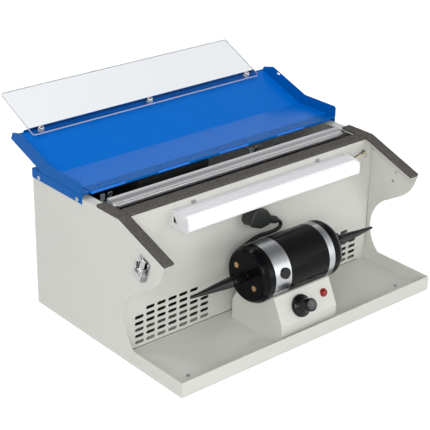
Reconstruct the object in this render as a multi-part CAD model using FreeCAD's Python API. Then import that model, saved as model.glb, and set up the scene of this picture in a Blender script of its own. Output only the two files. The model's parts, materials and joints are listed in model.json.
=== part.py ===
import FreeCAD, Part

import math
import os

# A bench polishing lathe with a dust hood: a sheet-metal cabinet, a motor with two tapered
# spindles in the work bay, a filter and blower behind the slotted wall, and a hinged lid.
# X runs to the right, Y to the rear, Z up; lengths are millimetres.

os.makedirs("parts", exist_ok=True)
V = FreeCAD.Vector

# Driving dimensions
case_width = 500.0
case_depth = 348.2
case_top = 215.5
sheet = 1.2
bend = 1.5
lip_height = 22.7
floor_top = 4.4
slope_angle = 19.4
shoulder_depth = 139.3
shoulder_length = 105.9
inner_wall_depth = 137.0
motor_depth = 65.5
motor_height = 103.5
motor_radius = 43.4
overrun = 2.0
touch = 0.3
tiny = 0.000001

half_width = case_width / 2
wall_inside = half_width - sheet
rear_inside = case_depth - sheet
slope = math.radians(slope_angle)
nodes = {}


def add(name, *solids):
    nodes[name] = solids[0] if len(solids) == 1 else Part.makeCompound(list(solids))


def box(x0, x1, y0, y1, z0, z1):
    return Part.makeBox(x1 - x0, y1 - y0, z1 - z0, V(x0, y0, z0))


def rod(start, direction, radius, length):
    return Part.makeCylinder(radius, length, start, direction)


def tube_between(start, direction, outer, inner, length):
    return rod(start, direction, outer, length).cut(rod(start, direction, inner, length))


def joined(*solids):
    whole = solids[0]
    for solid in solids[1:]:
        whole = whole.fuse(solid)
    return whole.removeSplitter()


def mirrored(solid):
    return solid.mirror(V(0, 0, 0), V(1, 0, 0))


# Each corner of an outline is (a, b, fillet radius); the arcs are tangent to both sides.
def corner_marks(corners):
    marks = []
    for index, (a, b, radius) in enumerate(corners):
        here = V(a, b, 0)
        last = corners[index - 1]
        following = corners[(index + 1) % len(corners)]
        if radius <= 0:
            marks.append([here])
            continue
        back = (V(last[0], last[1], 0) - here).normalize()
        on = (V(following[0], following[1], 0) - here).normalize()
        half_angle = back.getAngle(on) / 2
        middle = (back + on).normalize()
        reach = radius / math.tan(half_angle)
        centre = here + middle * (radius / math.sin(half_angle))
        marks.append([here + back * reach, centre - middle * radius, here + on * reach])
    return marks


def wire(corners, place):
    marks = corner_marks(corners)
    edges = []
    for index, mark in enumerate(marks):
        if len(mark) > 1:
            points = [place(point.x, point.y) for point in mark]
            edges.append(Part.Arc(*points).toShape())
        target = marks[(index + 1) % len(marks)][0]
        if (target - mark[-1]).Length > tiny:
            edges.append(Part.makeLine(place(mark[-1].x, mark[-1].y), place(target.x, target.y)))
    return Part.Wire(edges)


def face(corners, place, holes=()):
    wires = [wire(corners, place)] + [wire(hole, place) for hole in holes]
    return Part.makeFace(wires, "Part::FaceMakerBullseye")


# Prisms named after the axis that they run along
def slab_x(corners, x0, x1, holes=()):
    return face(corners, lambda y, z: V(x0, y, z), holes).extrude(V(x1 - x0, 0, 0))


def slab_y(corners, y0, y1, holes=()):
    return face(corners, lambda x, z: V(x, y0, z), holes).extrude(V(0, y1 - y0, 0))


def slab_z(corners, z0, z1, holes=()):
    return face(corners, lambda x, y: V(x, y, z0), holes).extrude(V(0, 0, z1 - z0))


def rectangle(a0, a1, b0, b1, radius=0.0):
    return [(a0, b0, radius), (a1, b0, radius), (a1, b1, radius), (a0, b1, radius)]


# A round hole as an outline of four arcs
def round_hole(a, b, radius):
    return rectangle(a - radius, a + radius, b - radius, b + radius, radius)


# A turned piece: its outline is (distance along the axis, radius, fillet radius).
def turned(corners, origin, axis):
    along = V(axis).normalize()
    side = along.cross(V(0, 0, 1))
    if side.Length < tiny:
        side = V(1, 0, 0)
    side.normalize()
    shape = face(corners, lambda a, r: origin + along * a + side * r)
    return shape.revolve(origin, along, 360)


# The section of a folded sheet: the path is one face of the metal, which lies to its right.
def folded(path, thickness, inner):
    steps = []
    for first, second in zip(path, path[1:]):
        steps.append(V(second[0] - first[0], second[1] - first[1], 0).normalize())
    near = []
    far = []
    for index, point in enumerate(path):
        before = steps[max(index - 1, 0)]
        after = steps[min(index, len(steps) - 1)]
        right_before = V(before.y, -before.x, 0)
        right_after = V(after.y, -after.x, 0)
        shift = (right_before + right_after) * (thickness / (1 + right_before.dot(right_after)))
        turn = before.cross(after).z
        near_radius = 0.0
        far_radius = 0.0
        if turn > tiny:
            near_radius = inner
            far_radius = inner + thickness
        if turn < -tiny:
            near_radius = inner + thickness
            far_radius = inner
        near.append((point[0], point[1], near_radius))
        far.append((point[0] + shift.x, point[1] + shift.y, far_radius))
    return near + far[::-1]


# A round cord or wire: straight runs joined by tangent arcs
def cord_path(points, radius_share):
    edges = []
    start = points[0]
    radii = []
    for index in range(1, len(points) - 1):
        here = points[index]
        back = points[index - 1] - here
        on = points[index + 1] - here
        shorter = min(back.Length, on.Length)
        back.normalize()
        on.normalize()
        reach = radius_share * shorter
        half_angle = back.getAngle(on) / 2
        radius = reach * math.tan(half_angle)
        radii.append(radius)
        middle = (back + on).normalize()
        centre = here + middle * (radius / math.sin(half_angle))
        first = here + back * reach
        last = here + on * reach
        edges.append(Part.makeLine(start, first))
        edges.append(Part.Arc(first, centre - middle * radius, last).toShape())
        start = last
    edges.append(Part.makeLine(start, points[-1]))
    return Part.Wire(edges), radii


def cord(points, radius, radius_share):
    path, radii = cord_path(points, radius_share)
    section = Part.Wire(Part.makeCircle(radius, points[0], points[1] - points[0]))
    solid = path.makePipeShell([section], True, False)
    return solid, radii, path.Length


# Side panels: one sheet each, with an arm rest curve in front and a flange along the top
flange_width = 17.0
rear_flange = 14.0
lip_corner = 1.5
tray_reach = 108.7
tray_corner = 8.0
throat_depth = 166.8
throat_height = 79.6
throat_radius = 58.6
nose_depth = 50.9
nose_height = 147.5
nose_radius = 60.0
shoulder_radius = 2.7
outer_fold = 1.1

shoulder = V(shoulder_depth, case_top, 0)
nose_top = shoulder - V(math.cos(slope), math.sin(slope), 0) * shoulder_length


def side_panel():
    outline = [
        (0, 0, 0),
        (0, lip_height, lip_corner),
        (tray_reach, lip_height, tray_corner),
        (throat_depth, throat_height, throat_radius),
        (nose_depth, nose_height, nose_radius),
        (nose_top.x, nose_top.y, 0),
        (shoulder_depth, case_top, shoulder_radius),
        (rear_inside, case_top, 0),
        (rear_inside, 0, 0),
    ]
    plate = slab_x(outline, -half_width, -wall_inside)
    path = [(nose_top.x, nose_top.y), (shoulder_depth, case_top), (rear_inside, case_top)]
    section = folded(path, sheet, shoulder_radius - sheet)
    flange = slab_x(section, -half_width, -half_width + flange_width)
    back_start = rear_inside - sheet
    back = box(-wall_inside, -wall_inside + rear_flange, back_start, rear_inside, 0, case_top - sheet)
    panel = joined(plate, flange, back)
    edges = []
    for edge in panel.Edges:
        low = edge.BoundBox
        on_face = abs(low.XMin + half_width) < tiny and abs(low.XMax + half_width) < tiny
        if on_face and low.ZMin > nose_top.y - tiny and low.YLength > flange_width:
            edges.append(edge)
    return panel.makeFillet(outer_fold, edges)


left_panel = side_panel()
add("side_panel_left", left_panel)
add("side_panel_right", mirrored(left_panel))

# Base tray: a floor with a hemmed front lip, upturned sides and an upturned rear edge
hem = 2.8
hem_gap = 0.2
tray_side = 20.0
tray_rear = 18.0
tray_clearance = 0.4
blower_left = -154.0
blower_right = -20.0
rear_clearance = 4.0
tray_end = rear_inside - sheet

tray_path = [
    (0, 0),
    (0, lip_height),
    (hem, lip_height),
    (hem, floor_top),
    (tray_end, floor_top),
]
flange_limit = wall_inside - rear_flange - tray_clearance
tray_floor = slab_x(folded(tray_path, sheet, hem_gap), -wall_inside, wall_inside)
tray_back_path = [
    (tray_end - tray_rear, floor_top),
    (tray_end, floor_top),
    (tray_end, tray_rear),
]
tray_back = folded(tray_back_path, sheet, bend)
tray_back_left = slab_x(tray_back, -flange_limit, blower_left - rear_clearance)
tray_back_right = slab_x(tray_back, blower_right + rear_clearance, flange_limit)
tray_edge = box(-wall_inside, -wall_inside + sheet, hem, tray_end, floor_top - sheet, tray_side)
tray = joined(tray_floor, tray_back_left, tray_back_right, tray_edge, mirrored(tray_edge))

# Inner panel: the rear wall of the work bay, with two fields of slots
slot_length = 16.0
slot_height = 5.5
slot_pitch_x = 20.2
slot_pitch_z = 10.1
slot_inset = 33.2
slot_first_x = half_width - slot_inset
slot_first_z = 13.5
slot_columns = 7
slot_rows = 6
inner_flange = 19.6
inner_foot = 14.0
panel_gap = 0.3
corner_drop = 3.0
plate_start = 8.0
plate_end = 205.0
wire_hole_inset = 21.6
wire_hole_x = half_width - wire_hole_inset
wire_hole_z = 195.0
wire_hole_radius = 4.0
socket_x = -6.0
socket_z = 156.0
socket_width = 27.0
socket_height = 24.0
socket_corner = 3.0

slots = []
for column in range(slot_columns):
    outer_column = column in (0, slot_columns - 1)
    for row in range(slot_rows - 1 if outer_column else slot_rows):
        slot_x = slot_first_x - column * slot_pitch_x
        slot_z = slot_first_z + row * slot_pitch_z
        for side in (-1, 1):
            slots.append(
                rectangle(
                    side * slot_x - slot_length / 2,
                    side * slot_x + slot_length / 2,
                    slot_z - slot_height / 2,
                    slot_z + slot_height / 2,
                    slot_height / 2,
                )
            )
socket_cut = rectangle(
    socket_x - socket_width / 2,
    socket_x + socket_width / 2,
    socket_z - socket_height / 2,
    socket_z + socket_height / 2,
    socket_corner,
)
inner_back = inner_wall_depth + sheet
flange_inside = half_width - flange_width
inner_limit = flange_inside - panel_gap
wing_top = case_top - sheet - corner_drop
inner_plate = slab_y(
    rectangle(-inner_limit, inner_limit, plate_start, plate_end),
    inner_wall_depth,
    inner_back,
    slots + [socket_cut, round_hole(wire_hole_x, wire_hole_z, wire_hole_radius)],
)
inner_top = slab_x(
    folded(
        [
            (inner_wall_depth, plate_end),
            (inner_wall_depth, case_top),
            (inner_wall_depth + inner_flange, case_top),
        ],
        sheet,
        bend,
    ),
    -inner_limit,
    inner_limit,
)
inner_base = slab_x(
    folded(
        [
            (inner_wall_depth + inner_foot, floor_top),
            (inner_wall_depth, floor_top),
            (inner_wall_depth, plate_start),
        ],
        sheet,
        bend,
    ),
    -inner_limit,
    inner_limit,
)
edge_inside = wall_inside - sheet
inner_wing = box(inner_limit, edge_inside, inner_wall_depth, inner_back, floor_top, wing_top)
inner_panel = joined(inner_plate, inner_top, inner_base, inner_wing, mirrored(inner_wing))

# Blower: a sheet box behind the filter, an axial fan at its rear and a finger guard outside
blower_front = 221.5
blower_top = 219.0
blower_sheet = 1.5
blower_corner = 3.0
fan_height = 112.0
fan_side = 119.0
fan_depth = 38.0
fan_corner = 6.0
fan_bore = 57.0
inlet_radius = 50.0
inlet_collar = 5.0
fan_web = 3.0
hub_radius = 21.0
hub_length = 26.0
motor_cup = 20.0
strut_width = 5.0
strut_depth = 4.0
strut_count = 4
strut_turn = 45.0
blade_count = 7
blade_tip_gap = 1.2
blade_thickness = 1.6
blade_pitch = 38.0
blade_depth = 24.0
shaft_gap = 0.6
fan_x = (blower_left + blower_right) / 2
fan_centre = V(fan_x, 0, fan_height)
back_way = V(0, 1, 0)

# Rear panel: covers the side panels' rear flanges, with the fan opening and the inlet cut-out
rear_fold = 14.0
inlet_inset = 100.0
inlet_x = half_width - inlet_inset
inlet_z = 60.0
inlet_width = 28.0
inlet_height = 48.0
inlet_corner = 2.0
fan_opening = fan_bore - sheet

rear_plate = slab_y(
    rectangle(-half_width, half_width, 0, case_top),
    rear_inside,
    case_depth,
    [
        round_hole(fan_x, fan_height, fan_opening),
        rectangle(
            inlet_x - inlet_width / 2,
            inlet_x + inlet_width / 2,
            inlet_z - inlet_height / 2,
            inlet_z + inlet_height / 2,
            inlet_corner,
        ),
    ],
)
rear_flange_limits = (
    (blower_right + rear_clearance, inner_limit),
    (-inner_limit, blower_left - rear_clearance),
)
rear_panel = rear_plate
for x0, x1 in rear_flange_limits:
    fold = box(x0, x1, rear_inside - rear_fold, rear_inside, case_top - sheet, case_top)
    rear_panel = joined(rear_panel, fold)

blower_outer = slab_y(
    rectangle(blower_left, blower_right, floor_top, blower_top, blower_corner), blower_front, rear_inside
)
blower_inner = slab_y(
    rectangle(
        blower_left + blower_sheet,
        blower_right - blower_sheet,
        floor_top + blower_sheet,
        blower_top - blower_sheet,
        blower_corner - blower_sheet,
    ),
    blower_front + blower_sheet,
    rear_inside,
)
inlet_start = fan_centre + back_way * blower_front
collar_outline = [
    (0, inlet_radius - blower_sheet, 0),
    (0, inlet_radius + inlet_collar, 0),
    (blower_sheet, inlet_radius + inlet_collar, 0),
    (blower_sheet, inlet_radius, bend),
    (inlet_collar * 2, inlet_radius, 0),
    (inlet_collar * 2, inlet_radius - blower_sheet, 0),
]
blower_box = blower_outer.cut(blower_inner)
blower_box = blower_box.cut(rod(inlet_start, back_way, inlet_radius, blower_sheet))
blower_box = joined(blower_box, turned(collar_outline, inlet_start, back_way))
add("fan_housing", blower_box)

fan_start = rear_inside - fan_depth
half_fan = fan_side / 2
fan_ring = slab_y(
    rectangle(fan_x - half_fan, fan_x + half_fan, fan_height - half_fan, fan_height + half_fan, fan_corner),
    fan_start,
    rear_inside,
    [round_hole(fan_x, fan_height, fan_bore)],
)
waist = tube_between(
    V(fan_x, fan_start + fan_web * 2, fan_height),
    back_way,
    half_fan + fan_side,
    fan_bore + fan_web,
    fan_depth - fan_web * 4,
)
fan_ring = fan_ring.cut(waist)
cup = rod(V(fan_x, rear_inside - strut_depth, fan_height), back_way, motor_cup, strut_depth)
stub_radius = 3.0
stub_length = 16.0
stub = rod(V(fan_x, rear_inside - strut_depth - stub_length, fan_height), back_way, stub_radius, stub_length)
fan_frame = joined(fan_ring, cup, stub)
for index in range(strut_count):
    strut = box(
        fan_x,
        fan_x + fan_bore + fan_web / 2,
        rear_inside - strut_depth,
        rear_inside,
        fan_height - strut_width / 2,
        fan_height + strut_width / 2,
    )
    strut.rotate(fan_centre, back_way, strut_turn + index * 360 / strut_count)
    fan_frame = joined(fan_frame, strut)
add("fan_frame", fan_frame)

rotor_end = rear_inside - strut_depth - shaft_gap
rotor_start = rotor_end - hub_length
bore_clearance = 0.05
hub_edge = 3.0
hub_outline = [
    (0, 0, 0),
    (0, hub_radius, hub_edge),
    (hub_length, hub_radius, 0),
    (hub_length, stub_radius + bore_clearance, 0),
    (hub_length - stub_length, stub_radius + bore_clearance, 0),
    (hub_length - stub_length, 0, 0),
]
rotor = turned(hub_outline, V(fan_x, rotor_start, fan_height), back_way)
blade_tip = fan_bore - blade_tip_gap
for index in range(blade_count):
    reach = blade_tip - hub_radius
    root = box(0, reach + hub_edge, -blade_depth / 2, blade_depth / 2, 0, blade_thickness)
    root.translate(V(hub_radius - hub_edge, 0, -blade_thickness / 2))
    root.rotate(V(0, 0, 0), V(1, 0, 0), blade_pitch)
    root.translate(V(fan_x, rotor_start + hub_length / 2, fan_height))
    root.rotate(V(fan_x, 0, fan_height), back_way, index * 360 / blade_count)
    rotor = rotor.fuse(root)
trim = rod(V(fan_x, fan_start, fan_height), back_way, blade_tip, fan_depth)
rotor = rotor.common(trim).removeSplitter()
add("fan_rotor", rotor)

guard_rings = 3
guard_width = 2.4
guard_thickness = 2.0
guard_rim = 58.0
guard_hub = 12.0
guard_spokes = 4
guard_start = V(fan_x, case_depth, fan_height)
guard = rod(guard_start, back_way, guard_hub, guard_thickness)
for ring in range(1, guard_rings + 1):
    radius = guard_hub + (guard_rim - guard_hub) * ring / guard_rings
    guard = joined(guard, tube_between(guard_start, back_way, radius, radius - guard_width, guard_thickness))
for index in range(guard_spokes):
    spoke = box(
        fan_x,
        fan_x + guard_rim - guard_width / 2,
        case_depth,
        case_depth + guard_thickness,
        fan_height - guard_width / 2,
        fan_height + guard_width / 2,
    )
    spoke.rotate(fan_centre, back_way, strut_turn + index * 360 / guard_spokes)
    guard = joined(guard, spoke)
add("fan_guard", guard)

# Filter: a rounded aluminium frame round a foam block, in two side guides on a sill
filter_front = 181.0
filter_rear = 198.0
filter_inset = 24.0
filter_half = half_width - filter_inset
filter_top = 220.0
filter_bottom = 26.0
filter_wall = 1.5
filter_rail = 12.0
filter_round = 5.0
rail_open = 16.5
filter_clearance = 0.4
filter_section = [
    (filter_front, filter_bottom, 0),
    (filter_front, filter_top, filter_round),
    (filter_rear, filter_top, sheet),
    (filter_rear, filter_bottom, 0),
]
frame_block = slab_x(filter_section, -filter_half, filter_half)
foam_room = box(
    -filter_half + filter_wall,
    filter_half - filter_wall,
    filter_front + filter_wall,
    filter_rear - filter_wall,
    filter_bottom + filter_wall,
    filter_top - filter_round,
)
frame_window = slab_y(
    rectangle(
        -filter_half + filter_rail,
        filter_half - filter_rail,
        filter_bottom + filter_rail,
        filter_top - rail_open,
    ),
    filter_front - overrun,
    filter_rear + overrun,
)
add("filter_frame", frame_block.cut(foam_room).cut(frame_window))
foam_block = box(
    -filter_half + filter_wall + filter_clearance,
    filter_half - filter_wall - filter_clearance,
    filter_front + filter_wall + filter_clearance,
    filter_rear - filter_wall - filter_clearance,
    filter_bottom + filter_wall,
    filter_top - filter_round - filter_clearance,
)
add("filter_foam", foam_block)

guide_wall = 2.0
guide_lip = 6.0
guide_front = filter_front - filter_clearance
guide_rear = filter_rear + filter_clearance
guide_web = filter_half + filter_clearance
guide_top = case_top - sheet - filter_clearance
guide_outline = [
    (edge_inside, guide_front - guide_wall, 0),
    (guide_web - guide_lip, guide_front - guide_wall, guide_wall / 2),
    (guide_web - guide_lip, guide_front, guide_wall / 3),
    (guide_web, guide_front, 0),
    (guide_web, guide_rear, 0),
    (guide_web - guide_lip, guide_rear, guide_wall / 3),
    (guide_web - guide_lip, guide_rear + guide_wall, guide_wall / 2),
    (edge_inside, guide_rear + guide_wall, 0),
]
guide_hollow = rectangle(
    guide_web + guide_wall, edge_inside - guide_wall, guide_front, guide_rear, guide_wall / 2
)
guide = slab_z(guide_outline, filter_bottom, guide_top, [guide_hollow])
sill_front = 158.0
sill_rear = 204.0
sill_path = [
    (sill_front, floor_top),
    (sill_front, filter_bottom),
    (sill_rear, filter_bottom),
    (sill_rear, floor_top),
]
sill = slab_x(folded(sill_path, sheet, bend), -edge_inside, edge_inside)
add("filter_guides", guide, mirrored(guide), sill)

# Foam seal strips on the flanges, one down each side and one across the front
foam = 5.0
foam_end = 190.0
strip_front = inner_wall_depth
strip_drop = (shoulder_depth - strip_front) * math.tan(slope)
side_path = [(foam_end, case_top), (shoulder_depth, case_top), (nose_top.x, nose_top.y)]
side_foam = slab_x(folded(side_path, foam, shoulder_radius), -half_width, -flange_inside)
strip_path = [
    (inner_wall_depth + inner_flange, case_top),
    (shoulder_depth, case_top),
    (strip_front, case_top - strip_drop),
]
strip_foam = slab_x(folded(strip_path, foam, shoulder_radius), -inner_limit, inner_limit)
add("foam_seals", side_foam, mirrored(side_foam), strip_foam)

# Top cover: a lid-coloured tray upside down over the rear half, open to the front
cover_front = 223.2
cover_top = 222.9
cover_skirt = 14.4
cover_round = 1.6
cover_half = half_width + sheet
cover_rear = case_depth + sheet
cover_block = box(-cover_half, cover_half, cover_front, cover_rear, cover_top - cover_skirt, cover_top)
round_edges = []
for edge in cover_block.Edges:
    bounds = edge.BoundBox
    at_top = bounds.ZMin > cover_top - tiny
    at_front = bounds.YMax < cover_front + tiny
    rear_upright = bounds.ZLength > sheet and bounds.YMin > cover_front + tiny
    if (at_top and not at_front) or rear_upright:
        round_edges.append(edge)
cover_block = cover_block.makeFillet(cover_round, round_edges)
cover_room = box(
    -half_width,
    half_width,
    cover_front - overrun,
    case_depth,
    cover_top - cover_skirt - overrun,
    cover_top - sheet,
)
top_cover = cover_block.cut(cover_room)

# Hinge along the cover's front edge: knuckles taken in turn by the two leaves
hinge_depth = 220.8
hinge_height = cover_top
knuckle_radius = 2.1
leaf = 0.9
leaf_width = 20.0
pin_radius = 1.1
pin_clearance = 0.05
hinge_inset = 14.0
hinge_half = half_width - hinge_inset
knuckle_count = 8
knuckle_gap = 0.3
hinge_origin = V(0, hinge_depth, hinge_height)
along_x = V(1, 0, 0)
knuckle_pitch = 2 * hinge_half / knuckle_count


def knuckle(index):
    start = -hinge_half + index * knuckle_pitch + knuckle_gap / 2
    length = knuckle_pitch - knuckle_gap
    at = V(start, hinge_depth, hinge_height)
    return rod(at, along_x, knuckle_radius, length), start, length


# The lid's own section is drawn open, in (distance behind the axis, height above it).
def lid_y(u):
    return hinge_depth + u


def lid_z(h):
    return hinge_height + h


def hinge_leaf(first, low, high):
    plate_start_u = knuckle_radius + touch
    plate_y = lid_y(plate_start_u)
    pieces = [box(-hinge_half, hinge_half, plate_y, lid_y(leaf_width), lid_z(low), lid_z(high))]
    for index in range(first, knuckle_count, 2):
        barrel, start, length = knuckle(index)
        tongue = box(start, start + length, lid_y(0), lid_y(knuckle_radius * 2), lid_z(low), lid_z(high))
        pieces.append(barrel)
        pieces.append(tongue)
    bore_start = V(-hinge_half, hinge_depth, hinge_height)
    bore = rod(bore_start, along_x, pin_radius + pin_clearance, 2 * hinge_half)
    return joined(*pieces).cut(bore).removeSplitter()


fixed_leaf = hinge_leaf(0, -knuckle_radius, -knuckle_radius + leaf)
moving_leaf = hinge_leaf(1, knuckle_radius - leaf, knuckle_radius)
hinge_pin = rod(V(-hinge_half, hinge_depth, hinge_height), along_x, pin_radius, 2 * hinge_half)
add("hinge_leaf_fixed", fixed_leaf, hinge_pin)
add("top_cover", top_cover)

# Lid: a blue skin with folded sides, and a shallow liner that carries the visor
skin = 0.9
skin_low = 0.3
lid_level = 100.0
lid_reach = 181.0
lid_rise = (lid_reach - lid_level) * math.tan(slope)
wall_height = 10.0
side_height = 17.9
side_turn = 74.0
side_clearance = 0.5
side_nose = 152.5
side_chamfer_run = 23.5
side_chamfer_drop = 5.5
side_round = 4.0
side_start = 2.4
latch_slot_back = 13.5
latch_slot_drop = 8.5
latch_slot_length = 7.0
latch_slot_height = 3.0
wall_notch = 19.0
front_inside = half_width - wall_notch
lid_half = half_width + side_clearance + skin
normal_u = -math.sin(slope)
normal_h = math.cos(slope)
side_rise = side_height + (side_nose - side_turn) * math.tan(slope)
front_u = lid_reach + normal_u * wall_height
front_h = skin_low + lid_rise + normal_h * wall_height
skin_path = [
    (lid_y(front_u), lid_z(front_h)),
    (lid_y(lid_reach), lid_z(skin_low + lid_rise)),
    (lid_y(lid_level), lid_z(skin_low)),
    (lid_y(side_start), lid_z(skin_low)),
]
skin_plate = slab_x(folded(skin_path, skin, bend), -lid_half + skin, lid_half - skin)
side_outline = [
    (lid_y(side_start), lid_z(skin_low), 0),
    (lid_y(lid_level), lid_z(skin_low), 0),
    (lid_y(lid_reach), lid_z(skin_low + lid_rise), sheet),
    (lid_y(side_nose + side_chamfer_run), lid_z(side_rise - side_chamfer_drop), sheet),
    (lid_y(side_nose), lid_z(side_rise), side_round),
    (lid_y(side_turn), lid_z(side_height), side_round),
    (lid_y(side_start), lid_z(side_height), side_round),
]
slot_u = side_nose - latch_slot_back
slot_h = side_rise - latch_slot_drop
latch_slot = rectangle(
    lid_y(slot_u - latch_slot_length / 2),
    lid_y(slot_u + latch_slot_length / 2),
    lid_z(slot_h - latch_slot_height / 2),
    lid_z(slot_h + latch_slot_height / 2),
    latch_slot_height / 3,
)
lid_side = slab_x(side_outline, -lid_half, -lid_half + skin, [latch_slot])
wall_cut_start = 6.0
wall_cut = box(
    front_inside,
    lid_half - skin,
    lid_y(front_u) - overrun,
    lid_y(lid_reach) + overrun,
    lid_z(skin_low + lid_rise + wall_cut_start),
    lid_z(front_h) + overrun,
)
skin_plate = skin_plate.cut(wall_cut).cut(mirrored(wall_cut))
add("lid_skin", joined(skin_plate, lid_side, mirrored(lid_side)))

liner = 0.8
liner_low = knuckle_radius - leaf
liner_turn = 83.5
liner_gap = 0.2
liner_start = leaf_width + liner_gap
liner_end = 176.0
liner_clearance = 0.4
liner_half = half_width - liner_clearance
liner_rise = (liner_end - liner_turn) * math.tan(slope)
liner_path = [
    (lid_y(liner_start), lid_z(liner_low + liner)),
    (lid_y(liner_turn), lid_z(liner_low + liner)),
    (lid_y(liner_end), lid_z(liner_low + liner + liner_rise)),
]
liner_plate = slab_x(folded(liner_path, liner, bend), -liner_half, liner_half)
add("lid_liner", liner_plate)
add("hinge_leaf_lid", moving_leaf)

# Visor: a clear sheet on three white spacers, held by three bright screws
visor_thickness = 3.0
visor_near_u = 161.2
visor_near_h = 32.5
visor_angle = 24.7
visor_width = 96.3
visor_inset = 25.0
visor_half = half_width - visor_inset
visor_corner = 4.0
screw_side_inset = 44.5
screw_spacing = half_width - screw_side_inset
screw_inset = 9.2
spacer_radius = 5.0
screw_radius = 2.0
head_radius = 4.2
head_height = 2.4
head_round_share = 0.8
screw_clearance = 0.2
tilt = math.radians(visor_angle)
visor_along = V(0, math.cos(tilt), math.sin(tilt))
visor_up = V(0, -math.sin(tilt), math.cos(tilt))
visor_origin = V(0, lid_y(visor_near_u), lid_z(visor_near_h))


def visor_place(x, along):
    return visor_origin + V(x, 0, 0) + visor_along * along


def disc_outline(x, along, radius):
    return rectangle(x - radius, x + radius, along - radius, along + radius, radius)


visor_holes = []
for index in (-1, 0, 1):
    visor_holes.append(disc_outline(index * screw_spacing, screw_inset, screw_radius + screw_clearance))
visor_face = face(
    [
        (-visor_half, 0, visor_corner),
        (visor_half, 0, visor_corner),
        (visor_half, visor_width, visor_corner),
        (-visor_half, visor_width, visor_corner),
    ],
    visor_place,
    visor_holes,
)
add("visor", visor_face.extrude(visor_up * visor_thickness))

liner_top = lid_z(liner_low + liner)
spacers = []
screws = []
liner_block = slab_x(
    [
        (lid_y(liner_turn), liner_top, 0),
        (lid_y(liner_turn + liner_end), liner_top + liner_end * math.tan(slope), 0),
        (lid_y(liner_turn + liner_end), lid_z(-overrun), 0),
        (lid_y(liner_turn), lid_z(-overrun), 0),
    ],
    -liner_half,
    liner_half,
)
spacer_reach = 12.0
for index in (-1, 0, 1):
    spot = visor_place(index * screw_spacing, screw_inset)
    down = visor_up * (-1)
    post = tube_between(spot, down, spacer_radius, screw_radius + screw_clearance, spacer_reach)
    spacers.append(post.cut(liner_block))
    shank = rod(spot + visor_up * visor_thickness, down, screw_radius, visor_thickness + spacer_reach)
    shank = shank.cut(liner_block)
    head_outline = [
        (0, 0, 0),
        (0, head_radius, 0),
        (head_height, head_radius, head_height * head_round_share),
        (head_height, 0, 0),
    ]
    head = turned(head_outline, spot + visor_up * visor_thickness, visor_up)
    screws.append(joined(head, shank))
add("visor_spacers", *spacers)
add("visor_screws", *screws)

# Lamp: a batten with a stepped housing, a rounded diffuser, two end caps and two spring clips
lamp_left_inset = 90.7
lamp_right_inset = 66.0
lamp_left = lamp_left_inset - half_width
lamp_right = half_width - lamp_right_inset
lamp_low = 179.1
lamp_high = 204.6
lamp_ridge = 206.0
lamp_ridge_depth = 130.0
lamp_front = 99.0
lamp_split = 111.0
lamp_step = 202.7
lamp_cap = 3.0
lamp_inset = 1.2
lamp_edge = 1.2
diffuser_round = 8.0
diffuser_wall = 1.2
cap_margin = 0.6
clip_left_inset = 39.8
clip_right_inset = 57.7
clip_places = (lamp_left + clip_left_inset, lamp_right - clip_right_inset)
clip_width = 8.0
clip_sheet = 0.8
clip_round = 0.8
clip_leg = 4.5
clip_reach = 3.2
housing_outline = [
    (inner_wall_depth, lamp_low, lamp_edge),
    (inner_wall_depth, lamp_high, 0),
    (lamp_ridge_depth, lamp_ridge, lamp_edge),
    (lamp_split, lamp_step, lamp_edge),
    (lamp_split, lamp_low, lamp_edge),
]
add("lamp_housing", slab_x(housing_outline, lamp_left + lamp_cap, lamp_right - lamp_cap))
diffuser_low = lamp_low + lamp_inset
diffuser_high = lamp_step - lamp_inset
diffuser_path = [
    (lamp_split, diffuser_low),
    (lamp_front, diffuser_low),
    (lamp_front, diffuser_high),
    (lamp_split, diffuser_high),
]
diffuser_outline = folded(diffuser_path, diffuser_wall, diffuser_round - diffuser_wall)
add("lamp_diffuser", slab_x(diffuser_outline, lamp_left + lamp_cap, lamp_right - lamp_cap))
cap_outline = [
    (inner_wall_depth, lamp_low - cap_margin, lamp_edge),
    (inner_wall_depth, lamp_high + cap_margin, 0),
    (lamp_ridge_depth, lamp_ridge + cap_margin, lamp_edge),
    (lamp_front + diffuser_round / 2, lamp_step + cap_margin, diffuser_round),
    (lamp_front - cap_margin, lamp_low - cap_margin, diffuser_round),
]
cap_left = slab_x(cap_outline, lamp_left, lamp_left + lamp_cap)
cap_right = slab_x(cap_outline, lamp_right - lamp_cap, lamp_right)
add("lamp_end_caps", cap_left, cap_right)
clip_start = lamp_high + touch
clip_rise = clip_reach * (lamp_ridge - lamp_high) / (inner_wall_depth - lamp_ridge_depth)
clip_path = [
    (inner_wall_depth, clip_start + clip_leg),
    (inner_wall_depth, clip_start),
    (inner_wall_depth - clip_reach, clip_start + clip_rise),
]
clip_outline = folded(clip_path, clip_sheet, clip_round)
clips = []
for place_x in clip_places:
    clips.append(slab_x(clip_outline, place_x - clip_width / 2, place_x + clip_width / 2))
add("lamp_clips", *clips)

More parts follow.
